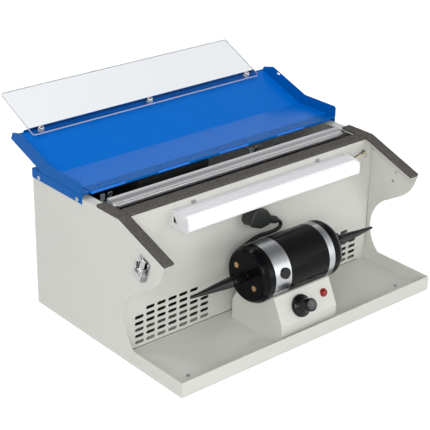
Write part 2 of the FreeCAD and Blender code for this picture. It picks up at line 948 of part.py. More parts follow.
# Lamp wires, from the lamp's right end cap to the hole in the inner panel
lamp_wire_radius = 0.8
lamp_wire_pitch = 2.2
lamp_wire_out = 11.0
lamp_wire_depth = 117.0
lamp_wire_height = 199.0
lamp_wire_sag_share = 0.45
wire_middle = (lamp_right + wire_hole_x) / 2
middle_depth = lamp_wire_depth + lamp_wire_pitch * 2
wires = []
for index in (-1, 0, 1):
    spread = index * lamp_wire_pitch
    hole_height = wire_hole_z + spread * lamp_wire_sag_share * 2
    wire_points = [
        V(lamp_right, lamp_wire_depth + spread, lamp_wire_height),
        V(lamp_right + lamp_wire_out, lamp_wire_depth + spread, lamp_wire_height + lamp_wire_pitch),
        V(wire_middle + lamp_wire_out, middle_depth + spread * 2, lamp_wire_height),
        V(wire_hole_x, inner_wall_depth - lamp_wire_pitch * 3, hole_height),
        V(wire_hole_x, inner_back + lamp_wire_pitch, hole_height),
    ]
    wire_solid, wire_radii, wire_length = cord(wire_points, lamp_wire_radius, lamp_wire_sag_share)
    wires.append(wire_solid)
add("lamp_wires", *wires)

# Socket in the inner panel, and the motor lead's angled plug standing in it
socket_lip = 2.5
socket_plate = 3.0
socket_back = 16.0
plug_offset = 3.0
plug_front = 112.0
plug_rear = 134.0
plug_reach = 40.0
plug_body = 22.0
plug_tail = 18.0
plug_half = 15.0
plug_neck = 6.5
plug_round = 9.0
plug_fall = 22.0
rib_count = 3
rib_width = 2.6
rib_height = 1.4
cord_radius = 3.0
cord_depth = 121.0
socket_front = rectangle(
    socket_x - socket_width / 2 - socket_lip,
    socket_x + socket_width / 2 + socket_lip,
    socket_z - socket_height / 2 - socket_lip,
    socket_z + socket_height / 2 + socket_lip,
    socket_corner,
)
socket_fit = 0.2
socket_body = rectangle(
    socket_x - socket_width / 2 + socket_fit,
    socket_x + socket_width / 2 - socket_fit,
    socket_z - socket_height / 2 + socket_fit,
    socket_z + socket_height / 2 - socket_fit,
    socket_corner - socket_fit,
)
socket = joined(
    slab_y(socket_front, inner_wall_depth - socket_plate, inner_wall_depth),
    slab_y(socket_body, inner_wall_depth, inner_wall_depth + socket_back),
)
add("panel_socket", socket)

fall = math.radians(plug_fall)
plug_along = V(math.cos(fall), 0, -math.sin(fall))
plug_across = V(math.sin(fall), 0, math.cos(fall))
plug_centre = V(socket_x - plug_offset, 0, socket_z)
plug_tip = plug_centre + plug_along * plug_reach + V(0, cord_depth, 0)
plug_outline = [
    (-plug_tail, -plug_half, plug_round),
    (plug_body / 3, -plug_half, plug_round),
    (plug_body, -plug_neck, plug_neck / 2),
    (plug_body, plug_neck, plug_neck / 2),
    (plug_body / 3, plug_half, plug_round),
    (-plug_tail, plug_half, plug_round),
]


def plug_place(along, across):
    return plug_centre + plug_along * along + plug_across * across + V(0, plug_front, 0)


plug = face(plug_outline, plug_place).extrude(V(0, inner_wall_depth - socket_plate - plug_front, 0))
front_edges = [edge for edge in plug.Edges if edge.BoundBox.YMax < plug_front + tiny]
plug = plug.makeFillet(sheet * 2, front_edges)
relief_start = plug_centre + plug_along * (plug_body - plug_neck) + V(0, cord_depth, 0)
relief_length = plug_reach - plug_body + plug_neck
relief_outline = [(0, 0, 0), (0, plug_neck, 0)]
rib_pitch = (plug_reach - plug_body) / rib_count
for index in range(rib_count):
    near_end = plug_neck + index * rib_pitch
    rib_start = near_end + rib_pitch - rib_width
    rib_radius = plug_neck - index * rib_height / rib_count
    relief_outline += [
        (near_end, plug_neck, 0),
        (near_end, plug_neck - rib_height, 0),
        (rib_start, plug_neck - rib_height, 0),
        (rib_start, rib_radius, 0),
        (near_end + rib_pitch, rib_radius, 0),
    ]
relief_outline += [(relief_length, 0, 0)]
relief_outline = [mark for index, mark in enumerate(relief_outline) if index != 2]
add("motor_plug", joined(plug, turned(relief_outline, relief_start, plug_along)))

# Pedestal: a folded shell with a curved seat, screwed to the tray, and the saddle in the seat
pedestal_left = -57.0
pedestal_right = 53.5
pedestal_front = 10.4
pedestal_rear = 118.4
pedestal_wall = 36.0
pedestal_lean = 26.0
pedestal_top = 76.0
pedestal_round = 3.0
pedestal_foot = 12.0
saddle_thickness = 2.0
saddle_reach = 33.0
lean = math.radians(pedestal_lean)
lean_in = (pedestal_top - pedestal_wall) * math.tan(lean)
axis_left = V(pedestal_left, motor_depth, motor_height)
pedestal_outline = [
    (pedestal_front, floor_top, 0),
    (pedestal_front, pedestal_wall, pedestal_round),
    (pedestal_front + lean_in, pedestal_top, pedestal_round),
    (pedestal_rear - lean_in, pedestal_top, pedestal_round),
    (pedestal_rear, pedestal_wall, pedestal_round),
    (pedestal_rear, floor_top, 0),
]
pedestal_inside = [
    (pedestal_front + sheet, floor_top, 0),
    (pedestal_front + sheet, pedestal_wall - sheet * math.tan(lean / 2), pedestal_round - sheet),
    (pedestal_front + lean_in + sheet, pedestal_top, 0),
    (pedestal_rear - lean_in - sheet, pedestal_top, 0),
    (pedestal_rear - sheet, pedestal_wall - sheet * math.tan(lean / 2), pedestal_round - sheet),
    (pedestal_rear - sheet, floor_top, 0),
]
pedestal = slab_x(pedestal_outline, pedestal_left, pedestal_right)
pedestal_width = pedestal_right - pedestal_left
seat_radius = motor_radius + saddle_thickness
seat = rod(axis_left - V(overrun, 0, 0), along_x, seat_radius, pedestal_width + overrun * 2)
room = slab_x(pedestal_inside, pedestal_left + sheet, pedestal_right - sheet)
pedestal = pedestal.cut(room).cut(seat)

# Holes in the leaning front for the knob's shaft and the lamp, and in the rear for the lead
knob_x = -13.4
lamp_x = 35.2
gland_x = -30.0
knob_up = 19.2
lamp_up = 24.0
gland_up = 24.0
control_radius = 4.5
indicator_radius = 5.5
gland_radius = 6.0
front_normal = V(0, -math.cos(lean), math.sin(lean))
front_climb = V(0, math.sin(lean), math.cos(lean))
rear_normal = V(0, math.cos(lean), math.sin(lean))
rear_climb = V(0, -math.sin(lean), math.cos(lean))
knob_base = V(knob_x, pedestal_front, pedestal_wall) + front_climb * knob_up
lamp_base = V(lamp_x, pedestal_front, pedestal_wall) + front_climb * lamp_up
gland_base = V(gland_x, pedestal_rear, pedestal_wall) + rear_climb * gland_up
for base, normal, radius in (
    (knob_base, front_normal, control_radius),
    (lamp_base, front_normal, indicator_radius),
    (gland_base, rear_normal, gland_radius),
):
    pedestal = pedestal.cut(rod(base + normal * overrun, normal * (-1), radius, overrun * 3))
add("pedestal_shell", pedestal)

saddle_ring = tube_between(axis_left, along_x, seat_radius, motor_radius, pedestal_width)
saddle_keep = box(
    pedestal_left,
    pedestal_right,
    motor_depth - saddle_reach,
    motor_depth + saddle_reach,
    floor_top,
    motor_height - saddle_thickness,
)
saddle_leg = 1.6
saddle_leg_gap = 22.0
saddle = saddle_ring.common(saddle_keep)
pedestal_space = box(
    pedestal_left,
    pedestal_right,
    pedestal_front,
    pedestal_rear,
    floor_top,
    pedestal_top,
)
seat_bottom = motor_height - seat_radius
for side in (-1, 1):
    leg_centre = motor_depth + side * saddle_leg_gap
    leg = box(
        pedestal_left + sheet + touch,
        pedestal_right - sheet - touch,
        leg_centre - saddle_leg / 2,
        leg_centre + saddle_leg / 2,
        floor_top,
        motor_height,
    ).cut(rod(axis_left, along_x, seat_radius - saddle_thickness / 2, pedestal_width))
    saddle = joined(saddle, leg.common(pedestal_space))
add("motor_saddle", saddle)

# Motor: everything on its axis is turned
case_left = -29.6
case_right = 46.8
band_left = -60.4
ring_right = 58.2
cap_face = 79.7
cap_shoulder = 9.0
cap_right_face = 78.0
cap_taper = 5.0
cap_round = 5.5
tube_wall = 3.5
band_wall = 2.6
cap_wall = 3.0
bearing_outer = 11.0
bearing_length = 9.0
shaft_radius = 5.0
shaft_clearance = 0.4
boss_radius = 14.0
axis_point = V(0, motor_depth, motor_height)


def on_axis(x):
    return V(x, motor_depth, motor_height)


tube_inner = motor_radius - tube_wall
case_length = case_right - case_left
add("motor_case", tube_between(on_axis(case_left), along_x, motor_radius, tube_inner, case_length))
band_length = case_left - band_left
brush_turn = 166.4
brush_x = -42.2
brush_cap_radius = 8.5
brush_bore = 6.5
brush = math.radians(brush_turn)
brush_way = V(0, math.cos(brush), math.sin(brush))
band_inner = motor_radius - band_wall
band = tube_between(on_axis(band_left), along_x, motor_radius, band_inner, band_length)
holder_inner = 24.0
for side in (-1, 1):
    way = brush_way * side
    base = on_axis(brush_x) + way * holder_inner
    holder = rod(base, way, brush_bore + band_wall, motor_radius - holder_inner - band_wall / 2)
    band = joined(band, holder)
for side in (-1, 1):
    way = brush_way * side
    band = band.cut(rod(on_axis(brush_x) + way * (holder_inner - overrun), way, brush_bore, motor_radius))
add("brush_housing", band)
ring_length = ring_right - case_right
ring_inner = motor_radius - band_wall
add("drive_end_ring", tube_between(on_axis(case_right), along_x, motor_radius, ring_inner, ring_length))

cap_screw_circle = 22.2
cap_screw_turn = 31.0
cap_screw_radius = 2.0
cap_screw_head = 4.2
cap_screw_depth = 1.8
cap_plate = 4.0


# A cap is drawn from its rim (0) outwards to its face, as a shell with a bearing seat.
def end_cap(rim_x, face_x):
    outward = V(1, 0, 0) if face_x > rim_x else V(-1, 0, 0)
    depth = abs(face_x - rim_x)
    outline = [
        (0, motor_radius - cap_wall, 0),
        (0, motor_radius, 0),
        (depth - cap_shoulder, motor_radius, cap_round),
        (depth, motor_radius - cap_taper, cap_round),
        (depth, shaft_radius + shaft_clearance, 0),
        (depth - cap_plate, shaft_radius + shaft_clearance, 0),
        (depth - cap_plate, bearing_outer, 0),
        (depth - cap_plate - bearing_length, bearing_outer, 0),
        (depth - cap_plate - bearing_length, boss_radius, 0),
        (depth - cap_plate, boss_radius, 0),
        (depth - cap_plate, motor_radius - cap_taper - cap_wall, cap_round - sheet),
        (depth - cap_shoulder, motor_radius - cap_wall, cap_round - sheet),
    ]
    cap = turned(outline, on_axis(rim_x), outward)
    for step in (0, 180):
        spot = screw_spot(face_x, step)
        cap = cap.cut(rod(spot, outward * (-1), cap_screw_radius, cap_plate))
    return cap


def screw_spot(face_x, step):
    turn = math.radians(cap_screw_turn + step)
    offset = V(0, math.cos(turn), math.sin(turn)) * cap_screw_circle
    return on_axis(face_x) + offset


add("end_cap_left", end_cap(band_left, -cap_face))
add("end_cap_right", end_cap(ring_right, cap_right_face))
cap_screws = []
slot_cut = 0.8
for face_x, outward in ((-cap_face, V(-1, 0, 0)), (cap_right_face, V(1, 0, 0))):
    for step in (0, 180):
        spot = screw_spot(face_x, step)
        head = rod(spot, outward, cap_screw_head, cap_screw_depth)
        shank = rod(spot, outward * (-1), cap_screw_radius, cap_plate)
        groove = box(
            spot.x - cap_screw_depth * 2,
            spot.x + cap_screw_depth * 2,
            spot.y - cap_screw_head,
            spot.y + cap_screw_head,
            spot.z - slot_cut / 2,
            spot.z + slot_cut / 2,
        )
        slot_start = spot + outward * (cap_screw_depth / 2)
        groove = groove.common(rod(slot_start, outward, cap_screw_head * 2, cap_screw_depth))
        cap_screws.append(joined(head, shank).cut(groove))
add("end_cap_screws", *cap_screws)

brush_caps = []
brushes = []
brush_cap_height = 2.6
brush_plug = 9.0
brush_width = 7.0
commutator_radius = 15.0
commutator_gap = 0.3
spring_length = 6.0
for side in (-1, 1):
    way = brush_way * side
    seat_at = on_axis(brush_x) + way * motor_radius
    outline = [
        (-brush_plug, 0, 0),
        (-brush_plug, brush_bore - touch, 0),
        (0, brush_bore - touch, 0),
        (0, brush_cap_radius, 0),
        (brush_cap_height, brush_cap_radius, sheet),
        (brush_cap_height, 0, 0),
    ]
    holder_bore = rod(on_axis(brush_x) + way * holder_inner, way, brush_bore, motor_radius)
    drum = rod(on_axis(band_left), along_x, motor_radius, band_length).cut(holder_bore)
    brush_caps.append(turned(outline, seat_at, way).cut(drum))
    brush_start = on_axis(brush_x) + way * (commutator_radius + commutator_gap)
    brush_end = motor_radius - brush_plug - spring_length
    block = rod(brush_start, way, brush_width / 2, brush_end - commutator_radius - commutator_gap)
    spring = rod(on_axis(brush_x) + way * brush_end, way, brush_width / 3, spring_length)
    brushes.append(joined(block, spring))
add("brush_caps", *brush_caps)
add("carbon_brushes", *brushes)

# Stator and armature, inside the case
stator_left = -24.0
stator_right = 36.0
stator_bore = 25.0
stator_ring = 5.0
stator_fit = 0.05
pole_width = 30.0
armature_gap = 0.6
armature_left = -20.0
armature_right = 32.0
coil_thickness = 7.0
coil_overhang = 6.0
stator_length = stator_right - stator_left
stator_outer = tube_inner - stator_fit
stator = tube_between(on_axis(stator_left), along_x, stator_outer, tube_inner - stator_ring, stator_length)
pole = box(
    stator_left,
    stator_right,
    motor_depth - pole_width / 2,
    motor_depth + pole_width / 2,
    motor_height - tube_inner + stator_ring / 2,
    motor_height + tube_inner - stator_ring / 2,
).cut(rod(on_axis(stator_left), along_x, stator_bore, stator_length))
pole = pole.common(rod(on_axis(stator_left), along_x, stator_outer, stator_length))
add("stator_core", joined(stator, pole))
coils = []
coil_inner = pole_width / 2 + touch
coil_outer = coil_inner + coil_thickness
coil_shell = tube_between(
    on_axis(stator_left - coil_overhang),
    along_x,
    tube_inner - stator_ring - touch,
    stator_bore + sheet,
    stator_length + coil_overhang * 2,
)
for side in (-1, 1):
    inner_z = min(side * (stator_bore - overrun), side * tube_inner)
    outer_z = max(side * (stator_bore - overrun), side * tube_inner)
    ring_block = box(
        stator_left - coil_overhang,
        stator_right + coil_overhang,
        motor_depth - coil_outer,
        motor_depth + coil_outer,
        motor_height + inner_z,
        motor_height + outer_z,
    )
    core_block = box(
        stator_left - touch,
        stator_right + touch,
        motor_depth - coil_inner,
        motor_depth + coil_inner,
        motor_height + inner_z - overrun,
        motor_height + outer_z + overrun,
    )
    coils.append(ring_block.cut(core_block).common(coil_shell))
add("field_coils", *coils)

# Spindle: shaft, armature, commutator and the two tapers, turning in two bearings
collar_radius = 6.5
taper_root = 110.0
taper_tip = 183.0
taper_big = 8.0
taper_small = 2.0
collar_gap = 1.2
running_gap = 0.02
shaft_stub = 20.0
shaft_left = -cap_face - shaft_stub
shaft_right = cap_right_face + shaft_stub
add("motor_shaft", rod(on_axis(shaft_left), along_x, shaft_radius, shaft_right - shaft_left))
armature_radius = stator_bore - armature_gap
winding_radius = 19.0
winding_length = 6.0
armature_outline = [
    (armature_left - winding_length, shaft_radius, 0),
    (armature_left - winding_length, winding_radius, sheet),
    (armature_left, winding_radius, 0),
    (armature_left, armature_radius, 0),
    (armature_right, armature_radius, 0),
    (armature_right, winding_radius, 0),
    (armature_right + winding_length, winding_radius, sheet),
    (armature_right + winding_length, shaft_radius, 0),
]
add("armature", turned(armature_outline, on_axis(0), along_x))
commutator_left = -52.0
commutator_right = -36.0
commutator_length = commutator_right - commutator_left
add(
    "commutator",
    tube_between(on_axis(commutator_left), along_x, commutator_radius, shaft_radius, commutator_length),
)


def taper(face_x):
    outward = V(1, 0, 0) if face_x > 0 else V(-1, 0, 0)
    root = abs(face_x) + collar_gap
    shaft_end = abs(shaft_right) if face_x > 0 else abs(shaft_left)
    outline = [
        (root, shaft_radius, 0),
        (root, collar_radius, 0),
        (taper_root - taper_big / 2, collar_radius, sheet),
        (taper_root - taper_big / 2, taper_big, sheet),
        (taper_root + taper_big / 2, taper_big, sheet),
        (taper_tip - taper_small, taper_small, taper_small / 2),
        (taper_tip, taper_small / 2, 0),
        (taper_tip, 0, 0),
        (shaft_end, 0, 0),
        (shaft_end, shaft_radius, 0),
    ]
    return turned(outline, on_axis(0), outward)


add("taper_spindle_left", taper(-cap_face))
add("taper_spindle_right", taper(cap_right_face))

bearing_wall = 1.8
bearings = []
for face_x, outward in ((-cap_face, V(1, 0, 0)), (cap_right_face, V(-1, 0, 0))):
    start = on_axis(face_x) + outward * cap_plate
    outline = [
        (0, shaft_radius + running_gap, 0),
        (0, shaft_radius + bearing_wall, 0),
        (sheet / 2, shaft_radius + bearing_wall, 0),
        (sheet / 2, bearing_outer - bearing_wall, 0),
        (0, bearing_outer - bearing_wall, 0),
        (0, bearing_outer, 0),
        (bearing_length, bearing_outer, 0),
        (bearing_length, shaft_radius + running_gap, 0),
    ]
    bearings.append(turned(outline, start, outward))
add("spindle_bearings", *bearings)

# Speed control inside the pedestal, its knob outside, and the red indicator lamp
pot_radius = 9.0
pot_length = 14.0
pot_thread = 3.8
pot_thread_out = 4.0
pot_shaft_radius = 3.0
pot_shaft_out = 14.0
knob_gap = 0.6
skirt_radius = 17.0
skirt_edge = 3.0
skirt_height = 8.0
skirt_round = 4.0
barrel_radius = 10.5
barrel_height = 25.9
barrel_taper = 0.7
knob_round = 1.5
insert_radius = 8.0
insert_depth = 0.8
insert_fit = 0.1
knob_bore_clearance = 0.03
nut_radius = 6.0
nut_height = 2.0
pot = rod(knob_base - front_normal * (sheet + pot_length), front_normal, pot_radius, pot_length)
pot = joined(
    pot,
    rod(knob_base - front_normal * sheet, front_normal, pot_thread, sheet + nut_height),
    rod(knob_base, front_normal, nut_radius, nut_height),
    rod(knob_base - front_normal * sheet, front_normal, pot_shaft_radius, sheet + pot_shaft_out),
)
add("speed_control", pot)
knob_start = knob_base + front_normal * knob_gap
nut_room = nut_height - knob_gap + touch
knob_outline = [
    (0, nut_radius + touch, 0),
    (0, skirt_radius, knob_gap),
    (skirt_edge, skirt_radius, skirt_round),
    (skirt_height, barrel_radius, skirt_round),
    (barrel_height, barrel_radius - barrel_taper, knob_round),
    (barrel_height, insert_radius, 0),
    (barrel_height - insert_depth, insert_radius, 0),
    (barrel_height - insert_depth, 0, 0),
    (pot_shaft_out, 0, 0),
    (pot_shaft_out, pot_shaft_radius + knob_bore_clearance, 0),
    (nut_room, pot_shaft_radius + knob_bore_clearance, 0),
    (nut_room, nut_radius + touch, 0),
]
knob = turned(knob_outline, knob_start, front_normal)
insert_start = knob_start + front_normal * (barrel_height - insert_depth)
insert = rod(insert_start, front_normal, insert_radius - insert_fit, insert_depth)
add("speed_knob", knob, insert)

lamp_rim = 6.5
lamp_rim_height = 1.6
lamp_lens = 5.0
lamp_lens_height = 4.0
lens_round_share = 0.75
lamp_body_length = 18.0
lamp_outline = [
    (-lamp_body_length, 0, 0),
    (-lamp_body_length, indicator_radius - touch, 0),
    (0, indicator_radius - touch, 0),
    (0, lamp_rim, 0),
    (lamp_rim_height, lamp_rim, sheet / 2),
    (lamp_rim_height, lamp_lens, 0),
    (lamp_rim_height + lamp_lens_height, lamp_lens, lamp_lens_height * lens_round_share),
    (lamp_rim_height + lamp_lens_height, 0, 0),
]
add("indicator_lamp", turned(lamp_outline, lamp_base, front_normal))

# Gland in the pedestal's leaning rear, where the motor lead goes in
gland_flange = 8.0
gland_flange_height = 2.0
gland_body = 4.6
gland_out = 7.0
gland_in = 6.0
gland_outline = [
    (-gland_in, 0, 0),
    (-gland_in, gland_radius - touch, 0),
    (0, gland_radius - touch, 0),
    (0, gland_flange, 0),
    (gland_flange_height, gland_flange, sheet / 2),
    (gland_flange_height, gland_radius, 0),
    (gland_out, gland_body, 0),
    (gland_out, 0, 0),
]
add("lead_gland", turned(gland_outline, gland_base, rear_normal))
gland_mouth = gland_base + rear_normal * gland_out

# Latches on the side panels: base, lever and hook, leaning with the slope of the panel's top
latch_depth = 84.5
latch_height = 163.5
latch_half_width = 13.0
latch_half_height = 17.0
latch_corner = 4.0
latch_plate = 1.2
ear_height = 7.5
ear_thickness = 1.4
ear_low = -11.5
ear_reach = 4.5
ear_gap = 0.3
latch_pin = 1.5
lever_half = 9.0
lever_top = 7.5
lever_low = -14.2
lever_wall = 1.2
lever_out = 8.6
hook_half = 5.5
hook_top = 16.5
hook_wall = 1.4
hook_pin_up = -3.0
hook_pin_out = 4.2
lever_pin_out = 4.6
rivet_head = 2.2
rivet_across = 9.2
hook_slot = 0.6
hook_eye = 2.2
hook_tip = 2.1
pin_play = 0.08
latch_up = V(0, -math.sin(slope), math.cos(slope))
latch_across = V(0, math.cos(slope), math.sin(slope))
latch_centre = V(-half_width, latch_depth, latch_height)


def latch_point(across, up, out):
    return latch_centre + latch_across * across + latch_up * up + V(-out, 0, 0)


# A prism whose outline is (up the panel, out from it), run across the latch
def latch_prism(corners, across0, across1):
    shape = face(corners, lambda up, out: latch_point(across0, up, out))
    return shape.extrude(latch_across * (across1 - across0))


def latch_rod(up, out, radius, across0, across1):
    return rod(latch_point(across0, up, out), latch_across, radius, across1 - across0)


def latch_base():
    plate = face(
        rectangle(-latch_half_width, latch_half_width, -latch_half_height, latch_half_height, latch_corner),
        lambda across, up: latch_point(across, up, 0),
    ).extrude(V(-latch_plate, 0, 0))
    ears = []
    for side in (-1, 1):
        near_edge = side * (lever_half + ear_gap)
        far_edge = side * (lever_half + ear_gap + ear_thickness)
        outline = [
            (ear_low - ear_reach, 0, 0),
            (ear_low - ear_reach, ear_height, ear_reach / 2),
            (ear_low + ear_reach, ear_height, ear_reach / 2),
            (ear_low + ear_reach * 2, 0, 0),
        ]
        ears.append(latch_prism(outline, min(near_edge, far_edge), max(near_edge, far_edge)))
    across_reach = lever_half + ear_gap + ear_thickness
    pin = latch_rod(ear_low, lever_pin_out, latch_pin, -across_reach, across_reach)
    heads = []
    for side in (-1, 1):
        spot = latch_point(side * rivet_across, latch_half_height - latch_corner, latch_plate)
        heads.append(rod(spot, V(-1, 0, 0), rivet_head, sheet / 2))
    return joined(plate, *ears, pin, *heads)


pin_hole = latch_pin + pin_play


def latch_lever():
    cheeks = []
    for side in (-1, 1):
        outer = side * lever_half
        inner = side * (lever_half - lever_wall)
        outline = [
            (lever_low, lever_pin_out, sheet),
            (ear_low, lever_pin_out - latch_pin * 2, sheet),
            (lever_top, hook_pin_out - latch_pin / 2, sheet),
            (lever_top, lever_out, sheet),
            (lever_low, lever_out, sheet),
        ]
        cheeks.append(latch_prism(outline, min(outer, inner), max(outer, inner)))
    cover = latch_prism(
        [
            (lever_low, lever_out - lever_wall, 0),
            (lever_top, lever_out - lever_wall, 0),
            (lever_top, lever_out, 0),
            (lever_low, lever_out, 0),
        ],
        -lever_half,
        lever_half,
    )
    slot_reach = hook_half + hook_slot
    hook_window = latch_prism(
        [
            (hook_pin_up - hook_eye - hook_slot, lever_out - lever_wall - overrun, 0),
            (lever_top + overrun, lever_out - lever_wall - overrun, 0),
            (lever_top + overrun, lever_out + overrun, 0),
            (hook_pin_up - hook_eye - hook_slot, lever_out + overrun, 0),
        ],
        -slot_reach,
        slot_reach,
    )
    cover = cover.cut(hook_window)
    pin = latch_rod(hook_pin_up, hook_pin_out, latch_pin, -lever_half, lever_half)
    whole = joined(cheeks[0], cheeks[1], cover, pin)
    hole_reach = lever_half + overrun
    return whole.cut(latch_rod(ear_low, lever_pin_out, pin_hole, -hole_reach, hole_reach))


def latch_hook():
    outline = [
        (hook_pin_up, hook_pin_out - hook_wall / 2, 0),
        (hook_pin_up, hook_pin_out + hook_wall / 2, 0),
        (hook_top, hook_pin_out + hook_wall / 2, hook_wall),
        (hook_top, hook_pin_out - hook_tip, hook_wall / 3),
        (hook_top - hook_wall, hook_pin_out - hook_tip, hook_wall / 3),
        (hook_top - hook_wall, hook_pin_out - hook_wall / 2, hook_wall / 3),
    ]
    blade = latch_prism(outline, -hook_half, hook_half)
    eye = latch_rod(hook_pin_up, hook_pin_out, hook_eye, -hook_half, hook_half)
    hole_reach = hook_half + overrun
    return joined(blade, eye).cut(latch_rod(hook_pin_up, hook_pin_out, pin_hole, -hole_reach, hole_reach))


base_left = latch_base()
lever_left = latch_lever()
hook_left = latch_hook()
add("latch_bases", base_left, mirrored(base_left))
add("latch_lever_left", lever_left)
add("latch_lever_right", mirrored(lever_left))
add("latch_hook_left", hook_left)
add("latch_hook_right", mirrored(hook_left))

# Mains inlet module in the rear panel, with its rocker switch
module_fit = 0.3
module_lip = 2.5
module_plate = 2.5
module_depth = 30.0
well_width = 22.0
well_height = 18.0
well_depth = 18.0
well_corner = 2.0
well_drop = 11.0
well_centre = inlet_z - well_drop
rocker_width = 13.0
rocker_height = 19.0
rocker_rise = 12.0
rocker_centre = inlet_z + rocker_rise
rocker_pit = 9.0
rocker_gap = 0.4
rocker_proud = 3.0
rocker_pivot_in = 4.0
rocker_edge = 2.25
rocker_angle = 8.0
contact_count = 3
contact_pitch = 6.0
contact_radius = 1.4
contact_length = 14.0
module = joined(
    slab_y(
        rectangle(
            inlet_x - inlet_width / 2 - module_lip,
            inlet_x + inlet_width / 2 + module_lip,
            inlet_z - inlet_height / 2 - module_lip,
            inlet_z + inlet_height / 2 + module_lip,
            inlet_corner,
        ),
        case_depth,
        case_depth + module_plate,
    ),
    slab_y(
        rectangle(
            inlet_x - inlet_width / 2 + module_fit,
            inlet_x + inlet_width / 2 - module_fit,
            inlet_z - inlet_height / 2 + module_fit,
            inlet_z + inlet_height / 2 - module_fit,
            inlet_corner - module_fit,
        ),
        case_depth - module_depth,
        case_depth,
    ),
)
module_face = case_depth + module_plate
well = slab_y(
    rectangle(
        inlet_x - well_width / 2,
        inlet_x + well_width / 2,
        well_centre - well_height / 2,
        well_centre + well_height / 2,
        well_corner,
    ),
    module_face - well_depth,
    module_face,
)
pit = slab_y(
    rectangle(
        inlet_x - rocker_width / 2 - rocker_gap,
        inlet_x + rocker_width / 2 + rocker_gap,
        rocker_centre - rocker_height / 2 - rocker_gap,
        rocker_centre + rocker_height / 2 + rocker_gap,
    ),
    module_face - rocker_pit,
    module_face,
)
module = module.cut(well).cut(pit)
for index in (-1, 0, 1):
    contact_start = V(inlet_x + index * contact_pitch, module_face - well_depth, well_centre)
    module = joined(module, rod(contact_start, back_way, contact_radius, contact_length))
rocker_pivot = V(inlet_x, module_face - rocker_pivot_in, rocker_centre)
rocker_pin = 1.5
rocker_pin_clearance = 0.08
pin_reach = rocker_width / 2 + rocker_gap + sheet
pin_hole_radius = rocker_pin + rocker_pin_clearance
module = module.cut(rod(rocker_pivot - along_x * pin_reach, along_x, pin_hole_radius, pin_reach * 2))
add("mains_inlet", module)
half_rocker = rocker_height / 2 - rocker_gap
rocker_outline = [
    (rocker_pivot.y + rocker_edge, rocker_centre - half_rocker, sheet / 2),
    (rocker_pivot.y - rocker_edge, rocker_centre - half_rocker / 2, sheet / 2),
    (rocker_pivot.y - rocker_edge, rocker_centre + half_rocker / 2, sheet / 2),
    (rocker_pivot.y + rocker_edge, rocker_centre + half_rocker, sheet / 2),
    (module_face + rocker_proud, rocker_centre + half_rocker, sheet / 2),
    (module_face + rocker_proud / 3, rocker_centre, rocker_height),
    (module_face + rocker_proud, rocker_centre - half_rocker, sheet / 2),
]
rocker = slab_x(rocker_outline, inlet_x - rocker_width / 2, inlet_x + rocker_width / 2)
pin_half = pin_reach - touch
rocker = joined(rocker, rod(rocker_pivot - along_x * pin_half, along_x, rocker_pin, pin_half * 2))
rocker.rotate(rocker_pivot, along_x, rocker_angle)
add("switch_rocker", rocker)

# Feet, and the screws that hold the sheet metal, the cover, the pedestal and the fan
foot_radius = 9.0
foot_proud = 1.5
foot_side_inset = 18.0
foot_inset = 22.0
foot_x = half_width - foot_side_inset
foot_taper = 1.0
foot_length = floor_top - sheet + foot_proud
feet = []
for side in (-1, 1):
    for depth in (foot_inset, rear_inside - foot_inset):
        outline = [
            (0, 0, 0),
            (0, foot_radius, 0),
            (foot_length, foot_radius - foot_taper, foot_taper),
            (foot_length, 0, 0),
        ]
        feet.append(turned(outline, V(side * foot_x, depth, floor_top - sheet), V(0, 0, -1)))
add("rubber_feet", *feet)

pan_radius = 3.2
pan_height = 1.8
pan_shank = 1.25
pan_length = 6.0
cover_screw_drop = 10.0
cover_screw_inset = 10.6
cover_screw_end = 18.2
tray_screw_inset = 38.0
tray_screw_y = 33.8
rear_screw_inset = 7.5
rear_screw_low = 20.0
rear_screw_drop = 20.5
cover_screw_z = cover_top - cover_screw_drop
tray_screw_x = half_width - tray_screw_inset
rear_screw_x = half_width - rear_screw_inset


def pan_screw(seat_at, outward):
    outline = [
        (-pan_length, 0, 0),
        (-pan_length, pan_shank, 0),
        (0, pan_shank, 0),
        (0, pan_radius, 0),
        (pan_height, pan_radius, pan_height * head_round_share),
        (pan_height, 0, 0),
    ]
    return turned(outline, seat_at, outward)


screw_seats = []
for side in (-1, 1):
    for depth in (cover_front + cover_screw_inset, case_depth - cover_screw_end):
        screw_seats.append((V(side * cover_half, depth, cover_screw_z), V(side, 0, 0)))
    screw_seats.append((V(side * tray_screw_x, tray_screw_y, floor_top), V(0, 0, 1)))
    for height in (rear_screw_low, case_top - rear_screw_drop):
        screw_seats.append((V(side * rear_screw_x, case_depth, height), V(0, 1, 0)))
pan_screws = [pan_screw(seat_at, outward) for seat_at, outward in screw_seats]


def drilled(shape):
    for seat_at, outward in screw_seats:
        shape = shape.cut(rod(seat_at, outward * (-1), pan_shank, pan_length))
    return shape


add("case_screws", *pan_screws)
add("top_cover", drilled(nodes["top_cover"]))
add("base_tray", drilled(tray))
add("inner_panel", inner_panel)
add("rear_panel", drilled(rear_panel))
add("side_panel_left", drilled(nodes["side_panel_left"]))
add("side_panel_right", drilled(nodes["side_panel_right"]))

# The part's origin is the middle of its base, so everything shifts there before it is written.
bounds = Part.makeCompound(list(nodes.values())).optimalBoundingBox(False, False)
origin_shift = V(0, -(bounds.YMin + bounds.YMax) / 2, foot_proud)
print("origin shift", origin_shift.y, origin_shift.z)
print("size", bounds.XLength, bounds.YLength, bounds.ZLength)

